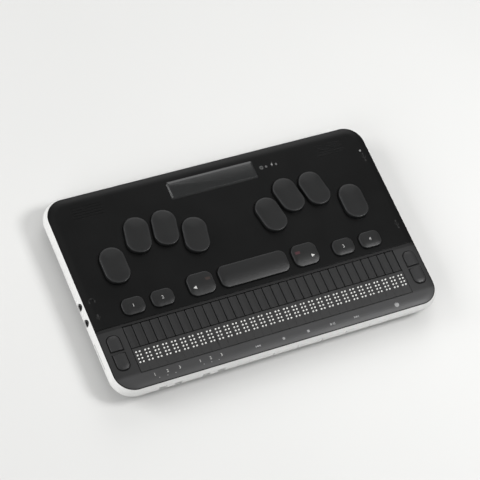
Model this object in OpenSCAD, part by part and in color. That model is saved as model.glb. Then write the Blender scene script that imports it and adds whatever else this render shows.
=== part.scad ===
// Braille display with a line of refreshable eight-dot cells and a braille keyboard.
// Millimetres. +X is right, +Y is to the back, +Z is up.
// The origin is on the table, under the middle of the case.

/* [Case] */
// Width of the case at its widest line
body_w = 246; // [240:1:264]
// Depth of the case at its widest line
body_d = 147; // [146:1:160]
// Corner radius at the widest line, seen from above
corner_r = 15.75; // [15:0.25:20]
// How far the feet hold the case off the table
foot_h = 1; // [0.6:0.1:2]
// Height of the bottom case
base_h = 7.6; // [7:0.2:9]
// Height of the side band
band_h = 8.2; // [8:0.2:10]
// Height of the widest line above the lower edge of the band
waist_up = 2.8; // [2.4:0.1:3]
// Radius of the band above the widest line
shoulder_r = 8; // [7.6:0.2:12]
// Radius of the band below the widest line
chin_r = 3.6; // [3.4:0.1:4.4]
// Radius between the sloping flank and the underside
base_r = 12; // [6:0.5:12]
// Thickness of the bottom case's flank and the band's lower edge
wall = 2; // [1.6:0.1:2.4]
// Thickness of the bottom case's floor
floor_t = 1.8; // [1.6:0.1:2.4]
// Gap between a lip and the wall that it drops into
lip_gap = 0.2; // [0.1:0.05:0.4]
// Height of the bottom case's locating lip
base_lip_h = 1.2; // [0.8:0.1:1.6]
// Thickness of the bottom case's locating lip
base_lip_t = 1; // [0.8:0.1:1.2]

/* [Cover] */
// Rise of the deck above the band
cover_rise = 1.2; // [1:0.1:2]
// Thickness of the cover's outer edge
edge_t = 0.3; // [0.2:0.05:0.6]
// Width of the rounded border of the deck
roll_w = 6; // [4:0.5:7]
// Thickness of the plate that drops inside the band
lip_t = 0.8; // [0.6:0.1:1.2]
// Gap between the deck and the front bezel
seam_gap = 0.3; // [0.2:0.05:0.5]
// Radius of the bosses that carry the keypad board
board_boss_r = 2.5; // [2:0.1:3]
// Radius of the stakes that hold the keypad board
stake_r = 1; // [0.8:0.1:1.2]
// How far a stake stands out under the keypad board
stake_out = 0.3; // [0.2:0.1:0.4]
// Distance of the keypad board's middle boss in front of the deck's middle
mid_boss_y = 12.6; // [10:0.1:16]
// Distance of the front bosses from the sides of the case
front_boss_in = 65.5; // [62:0.1:68]
// Distance of the front bosses in front of the deck's middle
front_boss_y = 17.6; // [17:0.1:20]
// Distance of the rear bosses from the sides of the case
rear_boss_in = 38; // [36:0.1:39]
// Distance of the rear bosses behind the deck's middle
rear_boss_y = 9.9; // [9:0.1:12]
// Distance of the bosses between the thumb keys and the function keys behind the seam
thumb_boss_y = 6; // [4:0.1:16]

/* [Braille line] */
// Number of cells, where the case has room for them
cells = 32; // [20:4:32]
// Least room between the line's ends and the sides of the case
line_in = 20; // [19.5:0.1:24]
// Distance between neighbouring cells
cell_pitch = 6.4; // [6.2:0.1:6.5]
// Distance between neighbouring dots in a cell
dot_pitch = 2.45; // [2.3:0.05:2.5]
// Distance of the line's centre from the front of the case
read_in = 22.8; // [22.4:0.1:24]
// Gap between neighbouring cells
cell_gap = 0.1; // [0.06:0.02:0.3]
// Length of the cap in front of the line's centre
cap_front = 10.4; // [9:0.1:10.6]
// Length of the cap behind the line's centre
cap_back = 6.6; // [5:0.1:6.8]
// Length of the cell body in front of the line's centre
cell_front = 11; // [10.6:0.1:11]
// Length of the cell body behind the line's centre
cell_back = 23; // [20:0.5:23]
// Depth of the caps below the deck
cap_sink = 0.1; // [0:0.05:0.4]
// Height of the caps
cap_h = 5.9; // [5.4:0.1:6]
// Radius of a pin
pin_r = 0.6; // [0.5:0.05:0.75]
// Gap between a pin and its bore
pin_gap = 0.15; // [0.08:0.01:0.2]
// How far a raised pin stands above its cap
dot_rise = 0.7; // [0.4:0.05:0.8]
// Length of a pin
pin_len = 4.8; // [4.4:0.1:4.9]
// Room left under a lowered pin
pin_room = 0.2; // [0.1:0.1:0.4]
// Thickness of the cells' circuit board
backplane_t = 1.4; // [1:0.1:1.5]
// Gap between the stacked parts inside the case
stack_gap = 0.1; // [0.05:0.05:0.2]
// Gap between the bezel's window and the cells
window_gap = 0.3; // [0.2:0.05:0.5]
// Width of the bezel's rail behind the window
rail_w = 1.8; // [1.6:0.1:2.4]

/* [Routing keys] */
// Width of a routing key
routing_w = 6.1; // [5.2:0.1:6.2]
// Length of a routing key
routing_d = 15.8; // [13:0.1:15.9]
// Gap between the caps and the routing keys
routing_gap = 0.3; // [0.25:0.05:1]
// Rise of the routing keys above the deck
routing_rise = 0.1; // [0:0.05:0.6]
// Radius along the top edges of a routing key
routing_r = 0.8; // [0.4:0.1:1.2]
// Length of a routing key's tail under the bezel
routing_tail = 1.3; // [1:0.1:1.8]
// Travel of a routing key
routing_travel = 0.8; // [0.4:0.1:0.8]
// Number of routing keys in a bank
keys_per_bank = 8; // [8:4:16]
// Thickness of the routing keys' circuit board
routing_board_t = 0.8; // [0.6:0.1:0.8]
// Side of a contact pad under a routing key
routing_pad_w = 3; // [2:0.5:4]
// Height of a contact pad under a routing key
routing_pad_h = 0.5; // [0.3:0.1:0.6]

/* [Keyboard] */
// Gap around the keys
key_gap = 0.3; // [0.15:0.05:0.5]
// Width of the flange that keeps a key under the deck
flange = 0.7; // [0.6:0.05:0.8]
// Thickness of the flange
flange_t = 1; // [0.8:0.1:1.1]
// Gap between the flange and the deck
flange_gap = 0.1; // [0.05:0.05:0.2]
// Width of the bevel round the top of a key
key_bevel = 0.5; // [0.2:0.1:0.6]
// Width of a dot key
dot_key_w = 17.4; // [16.9:0.1:18.6]
// Length of a dot key
dot_key_d = 26.5; // [24:0.5:28]
// Corner radius of a dot key
dot_key_r = 8.3; // [6:0.1:8.4]
// Rise of a dot key above the deck
dot_key_rise = 3; // [1.6:0.1:3.4]
// Crown of a dot key
dot_key_crown = 0.7; // [0.4:0.1:1]
// Travel of a dot key
dot_key_travel = 1.2; // [0.8:0.1:1.2]
// Lean of the three inner keys of each hand, in degrees
dot_key_lean = 11; // [6:0.5:12]
// Dot keys' distances from the side of the case, inner to outer
dot_key_in = [94.3, 75.8, 55.4, 32]; // [31:0.1:96]
// Dot keys' distances behind the deck's middle, inner to outer
dot_key_y = [-3, 7.7, 7.6, -9.2]; // [-10:0.1:10]
// Width of a function key
fn_w = 16; // [14:0.1:18]
// Length of a function key
fn_d = 11.7; // [10:0.1:13]
// Corner radius of a function key
fn_r = 4.5; // [2:0.1:4.8]
// Rise of a function key above the deck
fn_rise = 2; // [0.8:0.1:2.4]
// Function keys' distances from the side of the case, inner to outer
fn_in = [54.3, 33.1]; // [32:0.1:56]
// Distance of the function keys behind the seam
fn_y = 9.8; // [9:0.05:12]
// Width of an arrow key
arrow_w = 18.8; // [16:0.1:20]
// Gap between an arrow key and the function key beside it
arrow_gap = 11.7; // [8:0.05:14]
// Rise of an arrow key above the deck
arrow_rise = 2.3; // [1:0.1:2.6]
// Gap between the space bar and the arrow keys
space_gap = 4.5; // [2:0.1:8]
// Rise of the space bar above the deck
space_rise = 2.4; // [1:0.1:2.8]
// Length of the arrow keys and the space bar
thumb_d = 15.8; // [12:0.1:17]
// Corner radius of the arrow keys and the space bar
thumb_r = 5; // [2:0.1:5.5]
// Distance of the arrow keys and the space bar behind the seam
thumb_y = 11.85; // [11:0.05:14]
// Crown of the low keys
low_crown = 0.5; // [0.2:0.1:0.6]
// Travel of the low keys
low_travel = 0.8; // [0.5:0.1:0.8]
// Room between the deck's underside and the keypad board
key_room = 3.4; // [3.2:0.1:3.6]
// Thickness of the keypad board
keypad_t = 1.2; // [1:0.1:1.4]
// Rim of the keypad board beside the outer function keys
keypad_rim = 2.7; // [2:0.1:3]
// Rim of the keypad board behind the rear bosses
keypad_back_rim = 1; // [0.6:0.1:1.4]
// Depth of the strip that joins the board's two arms
bridge_d = 5; // [4:0.5:6]
// Gap between that strip and the seam
bridge_gap = 0.4; // [0.3:0.1:0.6]
// Spare width of an arm beside its keys
arm_spare = 0.3; // [0.1:0.1:0.4]
// Height of a key's switch
switch_h = 0.85; // [0.6:0.05:0.9]
// Side of a key's switch
switch_w = 6; // [4.5:0.5:7]
// Gap left between a pressed key and its switch
press_gap = 0.05; // [0.02:0.01:0.1]

/* [Scroll keys] */
// Width of a scroll key
scroll_w = 8.5; // [8:0.1:9.2]
// Length of an upper scroll key
scroll_up_d = 10.7; // [9:0.1:11]
// Length of a lower scroll key
scroll_down_d = 11.3; // [9:0.1:11.5]
// Radius of a scroll key's rounded end
scroll_r = 3.6; // [2:0.1:4]
// Rise of a scroll key above the bezel
scroll_rise = 1.2; // [0.4:0.1:1.4]
// Distance of the scroll keys from the end of the cells
scroll_out = 9.7; // [9.6:0.1:10]
// Distance of the split between the scroll keys behind the braille line
scroll_split = 6.75; // [6:0.05:7.5]
// Width of that split
scroll_gap = 2.5; // [2:0.1:3]

/* [Front switches] */
// Height of the front buttons
button_h = 4; // [3:0.1:4.2]
// Height of the buttons' middle above the widest line
button_up = 0.2; // [0:0.1:0.4]
// Gap around the front buttons
button_gap = 0.2; // [0.15:0.05:0.3]
// Height of the lips that keep a button behind the band
button_lip = 0.6; // [0.4:0.1:0.6]
// Thickness of those lips
button_lip_t = 1; // [0.8:0.1:1.2]
// Travel of a front button
button_travel = 0.6; // [0.3:0.1:0.6]
// Distance between neighbouring media buttons
media_pitch = 18.5; // [15:0.1:18.6]
// Gap between neighbouring media buttons
media_gap = 0.6; // [0.4:0.1:1]
// Place of the middle media button
media_x = 18.35; // [14:0.05:20]
// Width of the power button
power_w = 16; // [10:0.5:17]
// Distance of the power button from the right side of the case
power_in = 35.8; // [34:0.1:38]
// Distances of the two slide switches from the left side of the case
slide_in = [38, 69.5]; // [36:0.5:72]
// Width of a slide switch's knob
slide_w = 5.4; // [4:0.1:6]
// Height of a slide switch's knob
slide_h = 3.2; // [2.6:0.1:3.6]
// Reach of a slide switch's plate beside its knob
slide_lip = 2; // [1.5:0.1:2.2]
// Travel of a slide switch to each side of its middle
slide_travel = 5.4; // [4:0.1:5.4]
// Thickness of the front switch board
front_board_t = 1.2; // [0.8:0.1:1.4]
// Depth of a switch on the front board
front_switch_d = 1.2; // [0.8:0.1:1.4]
// Width of a switch on the front board
front_switch_w = 6; // [4:0.5:8]
// Height of a switch on the front board
front_switch_h = 3; // [2:0.1:3.4]
// Number of ribs that carry the front board
ribs = 4; // [2:1:6]
// Width of a rib
rib_w = 4; // [3:0.5:6]
// Height of the ribs' lower end above the floor
rib_up = 1.5; // [1:0.1:2]

/* [Display] */
// Width of the display window
lcd_w = 66.3; // [60:0.1:68]
// Length of the display window
lcd_d = 13.6; // [12:0.1:14]
// Corner radius of the display window
lcd_r = 1.5; // [1:0.1:2.5]
// Distance of the display's middle from the back of the case
lcd_in = 16.2; // [15.6:0.1:18]
// Rise of the window above the deck
lcd_rise = 0.7; // [0.3:0.1:0.8]
// Width of the bevel round the window
lcd_bevel = 1.2; // [0.6:0.1:1.4]
// Width of the ledge that carries the window
lcd_ledge = 2; // [1.5:0.1:2.5]
// Thickness of the window below the deck
lcd_sink = 1; // [0.8:0.1:1.2]
// Gap round the window
lcd_gap = 0.1; // [0.05:0.05:0.2]
// Thickness of the display module
lcd_module_h = 4; // [3:0.1:4.4]
// Reach of the display module beyond the window's sides
lcd_frame_x = 2; // [1:0.1:3]
// Reach of the display module beyond the window's front and back
lcd_frame_y = 1.5; // [1:0.1:1.8]
// Distances of the two lights beside the display
light_out = [8.65, 16.45]; // [7:0.05:18]
// Radius of a light
light_r = 0.8; // [0.6:0.1:1]
// Distance of the charging light from the right side
charge_in = 8.6; // [8.2:0.1:10]
// Distance of the charging light from the back of the case
charge_back = 22.4; // [20:0.1:24]

/* [Speakers] */
// Distance of a speaker's middle from the side of the case
speaker_in = 30; // [29:0.5:32]
// Distance of a speaker's middle from the back of the case
speaker_back = 15.2; // [15:0.1:17]
// Length of a grille slot
slot_l = 22; // [20:1:27]
// Width of a grille slot
slot_w = 0.6; // [0.5:0.1:1]
// Distance between grille slots
slot_pitch = 2; // [1.8:0.1:2.2]
// Number of grille slots
slots = 5; // [3:1:5]
// Rim of a speaker round its grille
speaker_rim = 1.4; // [1:0.1:2]
// Corner radius of a speaker
speaker_r = 2; // [1:0.1:3]
// Depth of a speaker's cone
cone_depth = 1.5; // [1:0.1:2]

/* [Side slot] */
// Length of the shallow slot in the left side
side_slot_l = 18.5; // [16:0.5:22]
// Height of the slot
side_slot_h = 0.8; // [0.6:0.1:1.2]
// Depth of the slot, from the widest line
side_slot_t = 0.5; // [0.4:0.1:0.8]
// Distance of the slot's middle behind the braille line
side_slot_y = 9.3; // [8:0.1:10]
// Height of the slot's middle above the widest line
side_slot_up = 1.1; // [0.8:0.1:1.4]

/* [Sockets] */
// Radius of an audio socket's bore
jack_bore_r = 1.8; // [1.75:0.05:1.9]
// Depth of an audio socket's bore
jack_bore_l = 14; // [12:0.5:14.5]
// Thickness of an audio socket's closed end
jack_end = 1.5; // [1:0.1:2]
// Radius of an audio socket's nose
jack_nose_r = 2.5; // [2.4:0.05:2.6]
// Width of an audio socket
jack_w = 6.4; // [6:0.1:7]
// Height of an audio socket
jack_h = 5; // [5:0.1:5.2]
// Distances of the audio sockets behind the braille line
jack_y = [45.7, 33.8]; // [33.6:0.1:46]
// How far a socket's face lies inside the widest line
socket_in = 0.7; // [0.6:0.1:1]
// Width of a supply and data socket
usb_w = 9; // [8.9:0.1:9.2]
// Height of a supply and data socket
usb_h = 3.2; // [3.1:0.1:3.4]
// Length of a supply and data socket
usb_l = 7.8; // [7.4:0.1:8.5]
// Wall of a supply and data socket
usb_wall = 0.3; // [0.25:0.05:0.4]
// Thickness of that socket's closed end
usb_end = 1; // [0.8:0.1:1.4]
// Width of the tongue in that socket
tongue_w = 6.7; // [6.4:0.1:6.9]
// Thickness of that tongue
tongue_t = 0.7; // [0.6:0.05:0.8]
// How far the tongue ends inside the socket's mouth
tongue_in = 1; // [0.6:0.1:1.4]
// Distance of the rear one from the back of the case
usb_back = 27.2; // [25:0.1:30]
// Distance of the front one behind the braille line
usb_front = 41; // [38:0.5:44]
// Gap between a socket and the hole in the band
socket_gap = 0.2; // [0.1:0.05:0.3]

/* [Boards and battery] */
// Thickness of the main board
board_t = 1.2; // [1:0.1:1.4]
// Height of the main board above the lower edge of the band
board_up = 0.8; // [0.6:0.1:1]
// Gap between the main board and the case
board_gap = 2; // [1.6:0.1:2.5]
// Side of a chip on the main board
chip_w = 14; // [8:1:16]
// Height of a chip
chip_h = 0.4; // [0.3:0.05:0.4]
// Distance of the chips from the middle
chip_x = 68; // [66:0.5:72]
// Distances of the chips behind the braille line
chip_y = [46, 78]; // [44:1:82]
// Width of the battery
battery_w = 103; // [80:1:104]
// Length of the battery
battery_d = 50; // [40:1:51]
// Distance of the battery's middle behind the deck's middle
battery_y = 1.4; // [0:0.1:2.4]
// Gap between the battery and its bay
battery_gap = 0.3; // [0.2:0.05:0.5]
// Corner radius of the battery
battery_r = 1.5; // [1:0.1:2]
// Thickness of the bay's walls
bay_wall = 1.5; // [1.2:0.1:2]
// Corner radius of the bay
bay_r = 2; // [1.5:0.1:2.5]
// Width of the ledge under the battery cover's edge
bay_ledge = 5; // [4.6:0.1:5.5]
// Thickness of the battery cover
battery_cover_t = 1; // [0.8:0.1:1]
// Gap round the battery cover
battery_cover_gap = 0.2; // [0.1:0.05:0.3]
// Corner radius of the battery cover's recess
battery_cover_r = 4; // [3:0.5:5]

/* [Feet and screws] */
// Radius of a foot
foot_r = 6; // [4:0.5:7]
// Depth of a foot's pocket in the case
foot_sink = 0.4; // [0.3:0.1:0.6]
// Distance of the feet from the sides of the case
foot_in_x = 31; // [28:0.5:36]
// Distance of the feet from the front and the back of the case
foot_in_y = 27.5; // [27:0.5:30]
// Radius of a screw
screw_r = 1; // [0.9:0.05:1.1]
// Radius of a screw's head
screw_head_r = 2; // [1.8:0.05:2.1]
// Height of a screw's head
screw_head_h = 1.2; // [0.9:0.1:1.3]
// Depth of a screw's head inside the case
screw_sink = 0.2; // [0.1:0.1:0.3]
// Reach of a screw into its boss
screw_reach = 3; // [2:0.1:4]
// Gap between a screw and its hole
screw_gap = 0.15; // [0.1:0.05:0.25]
// Radius of the cover's screw posts
post_r = 3; // [2.6:0.1:3.2]
// Radius of the bezel's screw posts
bezel_post_r = 1.7; // [1.6:0.05:1.8]
// Gap between those posts and the cells
bezel_post_gap = 0.5; // [0.3:0.1:0.6]
// Distance of the front posts behind the front of the caps
bezel_post_in = 0.8; // [0.4:0.1:1.2]
// Distance of the side screws from the sides of the case
side_post_in = 17.8; // [17:0.1:19]
// Distance of the front side screws behind the braille line
side_post_front = 60; // [58:0.5:62]
// Distance of the rear side screws behind the deck's middle
side_post_rear = 16.9; // [15:0.1:18]
// Distance of the back screws beside the battery cover's recess
back_post_out = 5.2; // [4:0.1:8]
// Distance of the back screws from the back of the case
back_post_in = 18.5; // [18:0.5:20]
// Distance of the battery cover's screws from the middle
bay_screw_x = 41.2; // [30:0.1:46]
// Radius of those screws
bay_screw_r = 0.8; // [0.7:0.05:0.9]
// Radius of their heads
bay_head_r = 1.7; // [1.5:0.05:1.8]
// Height of their heads
bay_head_h = 0.7; // [0.5:0.05:0.7]
// Reach of those screws above the floor
bay_reach = 1.5; // [1:0.1:2]
// Depth of their holes above the floor
bay_hole = 2; // [2:0.1:2.3]
// Height of their bosses above the floor
bay_boss = 2.5; // [2.4:0.1:3]

/* [Hidden] */
$fn = 96;
arc_steps = 8;
// Overlap that joins or cuts through drawn shapes, and a hair that keeps a flat from vanishing
slack = 0.5;
hair = 0.01;

key_names = ["left_arrow_key", "right_arrow_key", "space_bar"];
fixed_names = [
    "bottom_case", "battery_cover", "side_band", "top_cover", "front_bezel", "lcd_window",
    "lcd_module", "main_board", "keypad_board", "key_switches", "braille_cells",
    "cell_backplane", "routing_board", "front_switch_board", "battery_pack", "speakers",
    "audio_jacks", "usb_c_ports", "rubber_feet", "case_screws", "status_lights"
];
scroll_names = ["left_scroll_up", "left_scroll_down", "right_scroll_up", "right_scroll_down"];
slide_names = ["lock_switch", "mode_switch"];
cell_n = min(cells, floor((body_w - 2 * line_in) / cell_pitch));
banks = ceil(cell_n / keys_per_bank);

// Levels of the case, from the table up
band_bottom = foot_h + base_h;
band_top = band_bottom + band_h;
waist_z = band_bottom + waist_up;
deck_z = band_top + cover_rise;
deck_under = band_top - lip_t;
floor_z = foot_h + floor_t;

// Edge of the case, measured outward from the axis of its corner
chin_a = asin(waist_up / chin_r);
chin_x = corner_r - chin_r + chin_r * cos(chin_a);
shoulder_a = asin((band_top - waist_z) / shoulder_r);
edge_x = corner_r - shoulder_r + shoulder_r * cos(shoulder_a);
flank_t = wall / cos(chin_a);
inner_x = chin_x - flank_t;
floor_x = inner_x - tan(chin_a) * (band_bottom - floor_z);
base_x = chin_x + tan(chin_a) * (foot_h + base_r - band_bottom) - base_r / cos(chin_a);
roll_drop = cover_rise - edge_t;
roll_r = (roll_w * roll_w + roll_drop * roll_drop) / (2 * roll_drop);

// Inside of the band
inner_w = body_w - 2 * (corner_r - inner_x);
inner_d = body_d - 2 * (corner_r - inner_x);

// Braille line
line_y = read_in - body_d / 2;
line_w = cell_n * cell_pitch;
cap_z = deck_z - cap_sink;
cell_w = cell_pitch - cell_gap;
cell_top = cap_z - cap_h;
backplane_z = floor_z + stack_gap;
cell_z = backplane_z + backplane_t + stack_gap;
bore_r = pin_r + pin_gap;
pin_z = cap_z + dot_rise - pin_len;
bore_z = pin_z - dot_rise - pin_room;
window_w = line_w + 2 * window_gap;
window_front = line_y - cap_front - window_gap;
routing_y = line_y + cap_back + routing_gap + routing_d / 2;
window_back = routing_y + routing_d / 2 + routing_gap;
seam_y = window_back + rail_w + seam_gap / 2;
deck_mid = (seam_y + body_d / 2) / 2;
routing_board_z = cell_top + stack_gap;
routing_pad_z = routing_board_z + routing_board_t;
routing_z = routing_pad_z + routing_pad_h + routing_travel + press_gap;
routing_top = deck_z + routing_rise;
routing_h = routing_top - routing_z;

// Keyboard
keypad_z = deck_under - key_room;
flange_z = deck_under - flange_gap - flange_t;
switch_z = keypad_z + switch_h;
plunger_r = switch_w / 3;
dome_r = switch_w / 4;
scroll_x = line_w / 2 + scroll_out;
dot_key_x = [for (d = dot_key_in) body_w / 2 - d];
fn_x = [for (d = fn_in) body_w / 2 - d];
arrow_end = fn_x[0] - fn_w / 2 - arrow_gap;
arrow_x = arrow_end - arrow_w / 2;
space_w = 2 * (arrow_x - arrow_w / 2 - space_gap);
keypad_w = 2 * (fn_x[1] + fn_w / 2 + keypad_rim);
keypad_back = deck_mid + rear_boss_y + board_boss_r + keypad_back_rim;
arm_w = scroll_w + 2 * flange + arm_spare;
arm_front = line_y + scroll_split - scroll_gap / 2 - scroll_down_d - 2 * flange;
bridge_front = seam_y + bridge_gap;
bridge_back = bridge_front + bridge_d;
paired_bosses = [
    [body_w / 2 - front_boss_in, deck_mid - front_boss_y],
    [body_w / 2 - rear_boss_in, deck_mid + rear_boss_y],
    [arrow_end + arrow_gap / 2, seam_y + thumb_boss_y]
];
board_bosses = concat(
    [[0, deck_mid - mid_boss_y]],
    [for (p = paired_bosses, side = [-1, 1]) [side * p[0], p[1]]]
);

// Front switches, behind the inner face of the band
button_z = waist_z + button_up;
front_in = -inner_d / 2;
button_back = front_in + stack_gap + button_lip_t;
switch_front = button_back + button_travel + stack_gap;
front_board_y = switch_front + front_switch_d;
slide_x = [for (d = slide_in) d - body_w / 2];
power_x = body_w / 2 - power_in;
media_w = media_pitch - media_gap;
media_l = 4 * media_pitch + media_w;
slide_l = slide_w + 2 * slide_travel;
slide_base = slide_w + 2 * slide_lip;

// Main board, sockets and screws
board_z = band_bottom + board_up;
board_top = board_z + board_t;
board_front = seam_y + seam_gap;
board_back = inner_d / 2 - board_gap;
board_w = inner_w - 2 * board_gap;
jack_z = board_top + jack_h / 2;
usb_z = board_top + usb_h / 2;
socket_face = body_w / 2 - socket_in;
jack_l = jack_bore_l + jack_end;
usb_r = usb_h / 2 - hair;
usb_y = [body_d / 2 - usb_back, line_y + usb_front];
speaker_x = body_w / 2 - speaker_in;
speaker_y = body_d / 2 - speaker_back;
lcd_y = body_d / 2 - lcd_in;
bezel_post_x = line_w / 2 + bezel_post_gap + bezel_post_r;
bezel_posts = [
    for (s = [-1, 1], y = [line_y - cap_front + bezel_post_in, window_back - bezel_post_r])
        [s * bezel_post_x, y]
];
bay_w = battery_w + 2 * battery_gap;
bay_d = battery_d + 2 * battery_gap;
bay_y = deck_mid + battery_y;
bay_cover_w = bay_w + 2 * bay_ledge;
bay_cover_d = bay_d + 2 * bay_ledge;
side_post_x = body_w / 2 - side_post_in;
back_post_x = bay_cover_w / 2 + back_post_out;
paired_posts = [
    [side_post_x, line_y + side_post_front],
    [side_post_x, deck_mid + side_post_rear],
    [back_post_x, body_d / 2 - back_post_in]
];
cover_posts = [for (p = paired_posts, side = [-1, 1]) [side * p[0], p[1]]];
bay_screws = [for (s = [-1, 1]) [s * bay_screw_x, bay_y - bay_d / 2 - bay_ledge / 2]];
feet = [
    for (sx = [-1, 1], sy = [-1, 1])
        [sx * (body_w / 2 - foot_in_x), sy * (body_d / 2 - foot_in_y)]
];
lights = concat(
    [for (d = light_out) [lcd_w / 2 + d, lcd_y]],
    [[body_w / 2 - charge_in, body_d / 2 - charge_back]]
);

// Colours
graphite = [0.12, 0.12, 0.13];
slate = [0.27, 0.28, 0.3];
silver = [0.88, 0.89, 0.9];
board_green = [0.1, 0.35, 0.2];

// Points along an arc, from one angle to another
function arc(centre, r, from, to) = [
    for (i = [0:arc_steps])
        let (a = from + (to - from) * i / arc_steps)
        centre + r * [cos(a), sin(a)]
];

// Sides of the eight dots: 1 2 3 7 are the left column, 4 5 6 8 the right one
function dot_side(i) = (i <= 3 || i == 7) ? -1 : 1;
function dot_row(i) = i > 6 ? 3 : (i - 1) % 3;
function dot_place(i) = [dot_side(i) * dot_pitch / 2, (1.5 - dot_row(i)) * dot_pitch];
// A dot key's rank from the middle to the outside of its hand
function dot_rank(i) = i > 6 ? 3 : (i - 1) % 3;
function cell_x(i) = (i - (cell_n - 1) / 2) * cell_pitch;

// A flat shape standing upright, drawn in depth and height, and run along the width
module along_x(l) {
    rotate([90, 0, 90])
        linear_extrude(l, center = true)
            children();
}

module rounded_rectangle(w, d, r) {
    square([w - 2 * r, d], center = true);
    square([w, d - 2 * r], center = true);
    for (sx = [-1, 1], sy = [-1, 1])
        translate([sx * (w / 2 - r), sy * (d / 2 - r)])
            circle(r);
}

module rounded_plate(w, d, r, z0, z1) {
    translate([0, 0, z0])
        linear_extrude(z1 - z0)
            rounded_rectangle(w, d, r);
}

// A rounded rectangle whose edge follows a profile, drawn outward from the corner's axis
module rounded_sweep(w, d, r, z0, z1) {
    ax = w / 2 - r;
    ay = d / 2 - r;
    along_x(2 * ax) {
        translate([-ay, z0])
            square([2 * ay, z1 - z0]);
        for (side = [0, 1])
            mirror([side, 0])
                translate([ay, 0])
                    children();
    }
    for (turn = [0, 180])
        rotate(turn)
            translate([ax, 0, 0])
                rotate([90, 0, 0])
                    linear_extrude(2 * ay, center = true)
                        children();
    for (i = [0:3])
        translate([(i == 0 || i == 3 ? 1 : -1) * ax, (i < 2 ? 1 : -1) * ay, 0])
            rotate(90 * i)
                rotate_extrude(angle = 90)
                    children();
}

// Half of the band's section, from the corner's axis to the outer face
module band_profile() {
    chin = [corner_r - chin_r, waist_z];
    shoulder = [corner_r - shoulder_r, waist_z];
    polygon(concat(
        [[0, band_bottom]],
        arc(chin, chin_r, -chin_a, 0),
        arc(shoulder, shoulder_r, 0, shoulder_a),
        [[0, band_top]]
    ));
}

module base_profile() {
    polygon(concat(
        [[0, foot_h]],
        arc([base_x, foot_h + base_r], base_r, -90, -chin_a),
        [[chin_x, band_bottom], [0, band_bottom]]
    ));
}

module base_hollow_profile() {
    polygon([
        [0, floor_z], [floor_x, floor_z], [inner_x, band_bottom],
        [inner_x, band_bottom + slack], [0, band_bottom + slack]
    ]);
}

module cover_profile() {
    roll = [edge_x - roll_w, deck_z - roll_r];
    polygon(concat(
        [[0, band_top], [edge_x, band_top]],
        arc(roll, roll_r, asin((deck_z - roll_drop - roll[1]) / roll_r), 90),
        [[0, deck_z]]
    ));
}

// A screw hole with a pocket for the head, drilled up from the underside
module screw_hole(r, head_r, head_h, top) {
    translate([0, 0, -slack])
        cylinder(r = head_r + screw_gap, h = foot_h + head_h + slack);
    translate([0, 0, foot_h])
        cylinder(r = r + screw_gap, h = top - foot_h);
}

module screw(r, head_r, head_h, sink, top) {
    translate([0, 0, foot_h + sink])
        cylinder(r = head_r, h = head_h);
    translate([0, 0, foot_h + sink + head_h / 2])
        cylinder(r = r, h = top - foot_h - sink - head_h / 2);
}

module bottom_case() {
    lip_w = inner_w - 2 * lip_gap;
    lip_d = inner_d - 2 * lip_gap;
    lip_r = inner_x - lip_gap;
    color(slate)
        difference() {
            union() {
                difference() {
                    rounded_sweep(body_w, body_d, corner_r, foot_h, band_bottom)
                        base_profile();
                    rounded_sweep(body_w, body_d, corner_r, floor_z, band_bottom + slack)
                        base_hollow_profile();
                }
                difference() {
                    rounded_plate(lip_w, lip_d, lip_r, band_bottom - slack, band_bottom + base_lip_h);
                    rounded_plate(
                        lip_w - 2 * base_lip_t, lip_d - 2 * base_lip_t, lip_r - base_lip_t,
                        band_bottom - 2 * slack, band_bottom + base_lip_h + slack
                    );
                    translate([-line_w / 2, -body_d / 2, band_bottom])
                        cube([line_w, corner_r, base_lip_h + slack]);
                }
                for (p = cover_posts)
                    translate([p[0], p[1], foot_h + slack])
                        cylinder(r = post_r, h = board_z - foot_h - slack);
                for (p = bezel_posts)
                    translate([p[0], p[1], foot_h + slack])
                        cylinder(r = bezel_post_r, h = board_z - foot_h - slack);
                for (p = bay_screws)
                    translate([p[0], p[1], floor_z - slack])
                        cylinder(r = bay_ledge / 2, h = bay_boss + slack);
                battery_bay_walls();
                for (i = [0:ribs - 1])
                    translate([(i - (ribs - 1) / 2) * line_w / ribs, front_board_y + front_board_t / 2, 0])
                        board_rib();
            }
            for (p = cover_posts)
                translate([p[0], p[1], 0])
                    screw_hole(screw_r, screw_head_r, screw_sink + screw_head_h, board_z + slack);
            for (p = bezel_posts)
                translate([p[0], p[1], 0])
                    screw_hole(screw_r, screw_head_r, screw_sink + screw_head_h, board_z + slack);
            for (p = bay_screws)
                translate([p[0], p[1], 0])
                    screw_hole(bay_screw_r, bay_screw_r, 0, floor_z + bay_hole);
            for (p = feet)
                translate([p[0], p[1], 0])
                    cylinder(r = foot_r + lip_gap / 2, h = foot_h + foot_sink);
            translate([0, bay_y, 0]) {
                rounded_plate(bay_w, bay_d, bay_r, 0, floor_z + slack);
                rounded_plate(
                    bay_cover_w, bay_cover_d, battery_cover_r, 0, foot_h + battery_cover_t
                );
            }
        }
}

module battery_bay_walls() {
    translate([0, bay_y, 0])
        difference() {
            rounded_plate(
                bay_w + 2 * bay_wall, bay_d + 2 * bay_wall, bay_r + bay_wall,
                floor_z - slack, band_bottom
            );
            rounded_plate(bay_w, bay_d, bay_r, floor_z - 2 * slack, band_bottom + slack);
        }
}

// A rib that stands on the front flank and carries the front switch board
module board_rib() {
    along_x(rib_w)
        translate([-front_board_t, floor_z + rib_up])
            square([2 * front_board_t, band_bottom - floor_z - rib_up + stack_gap]);
}

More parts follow.
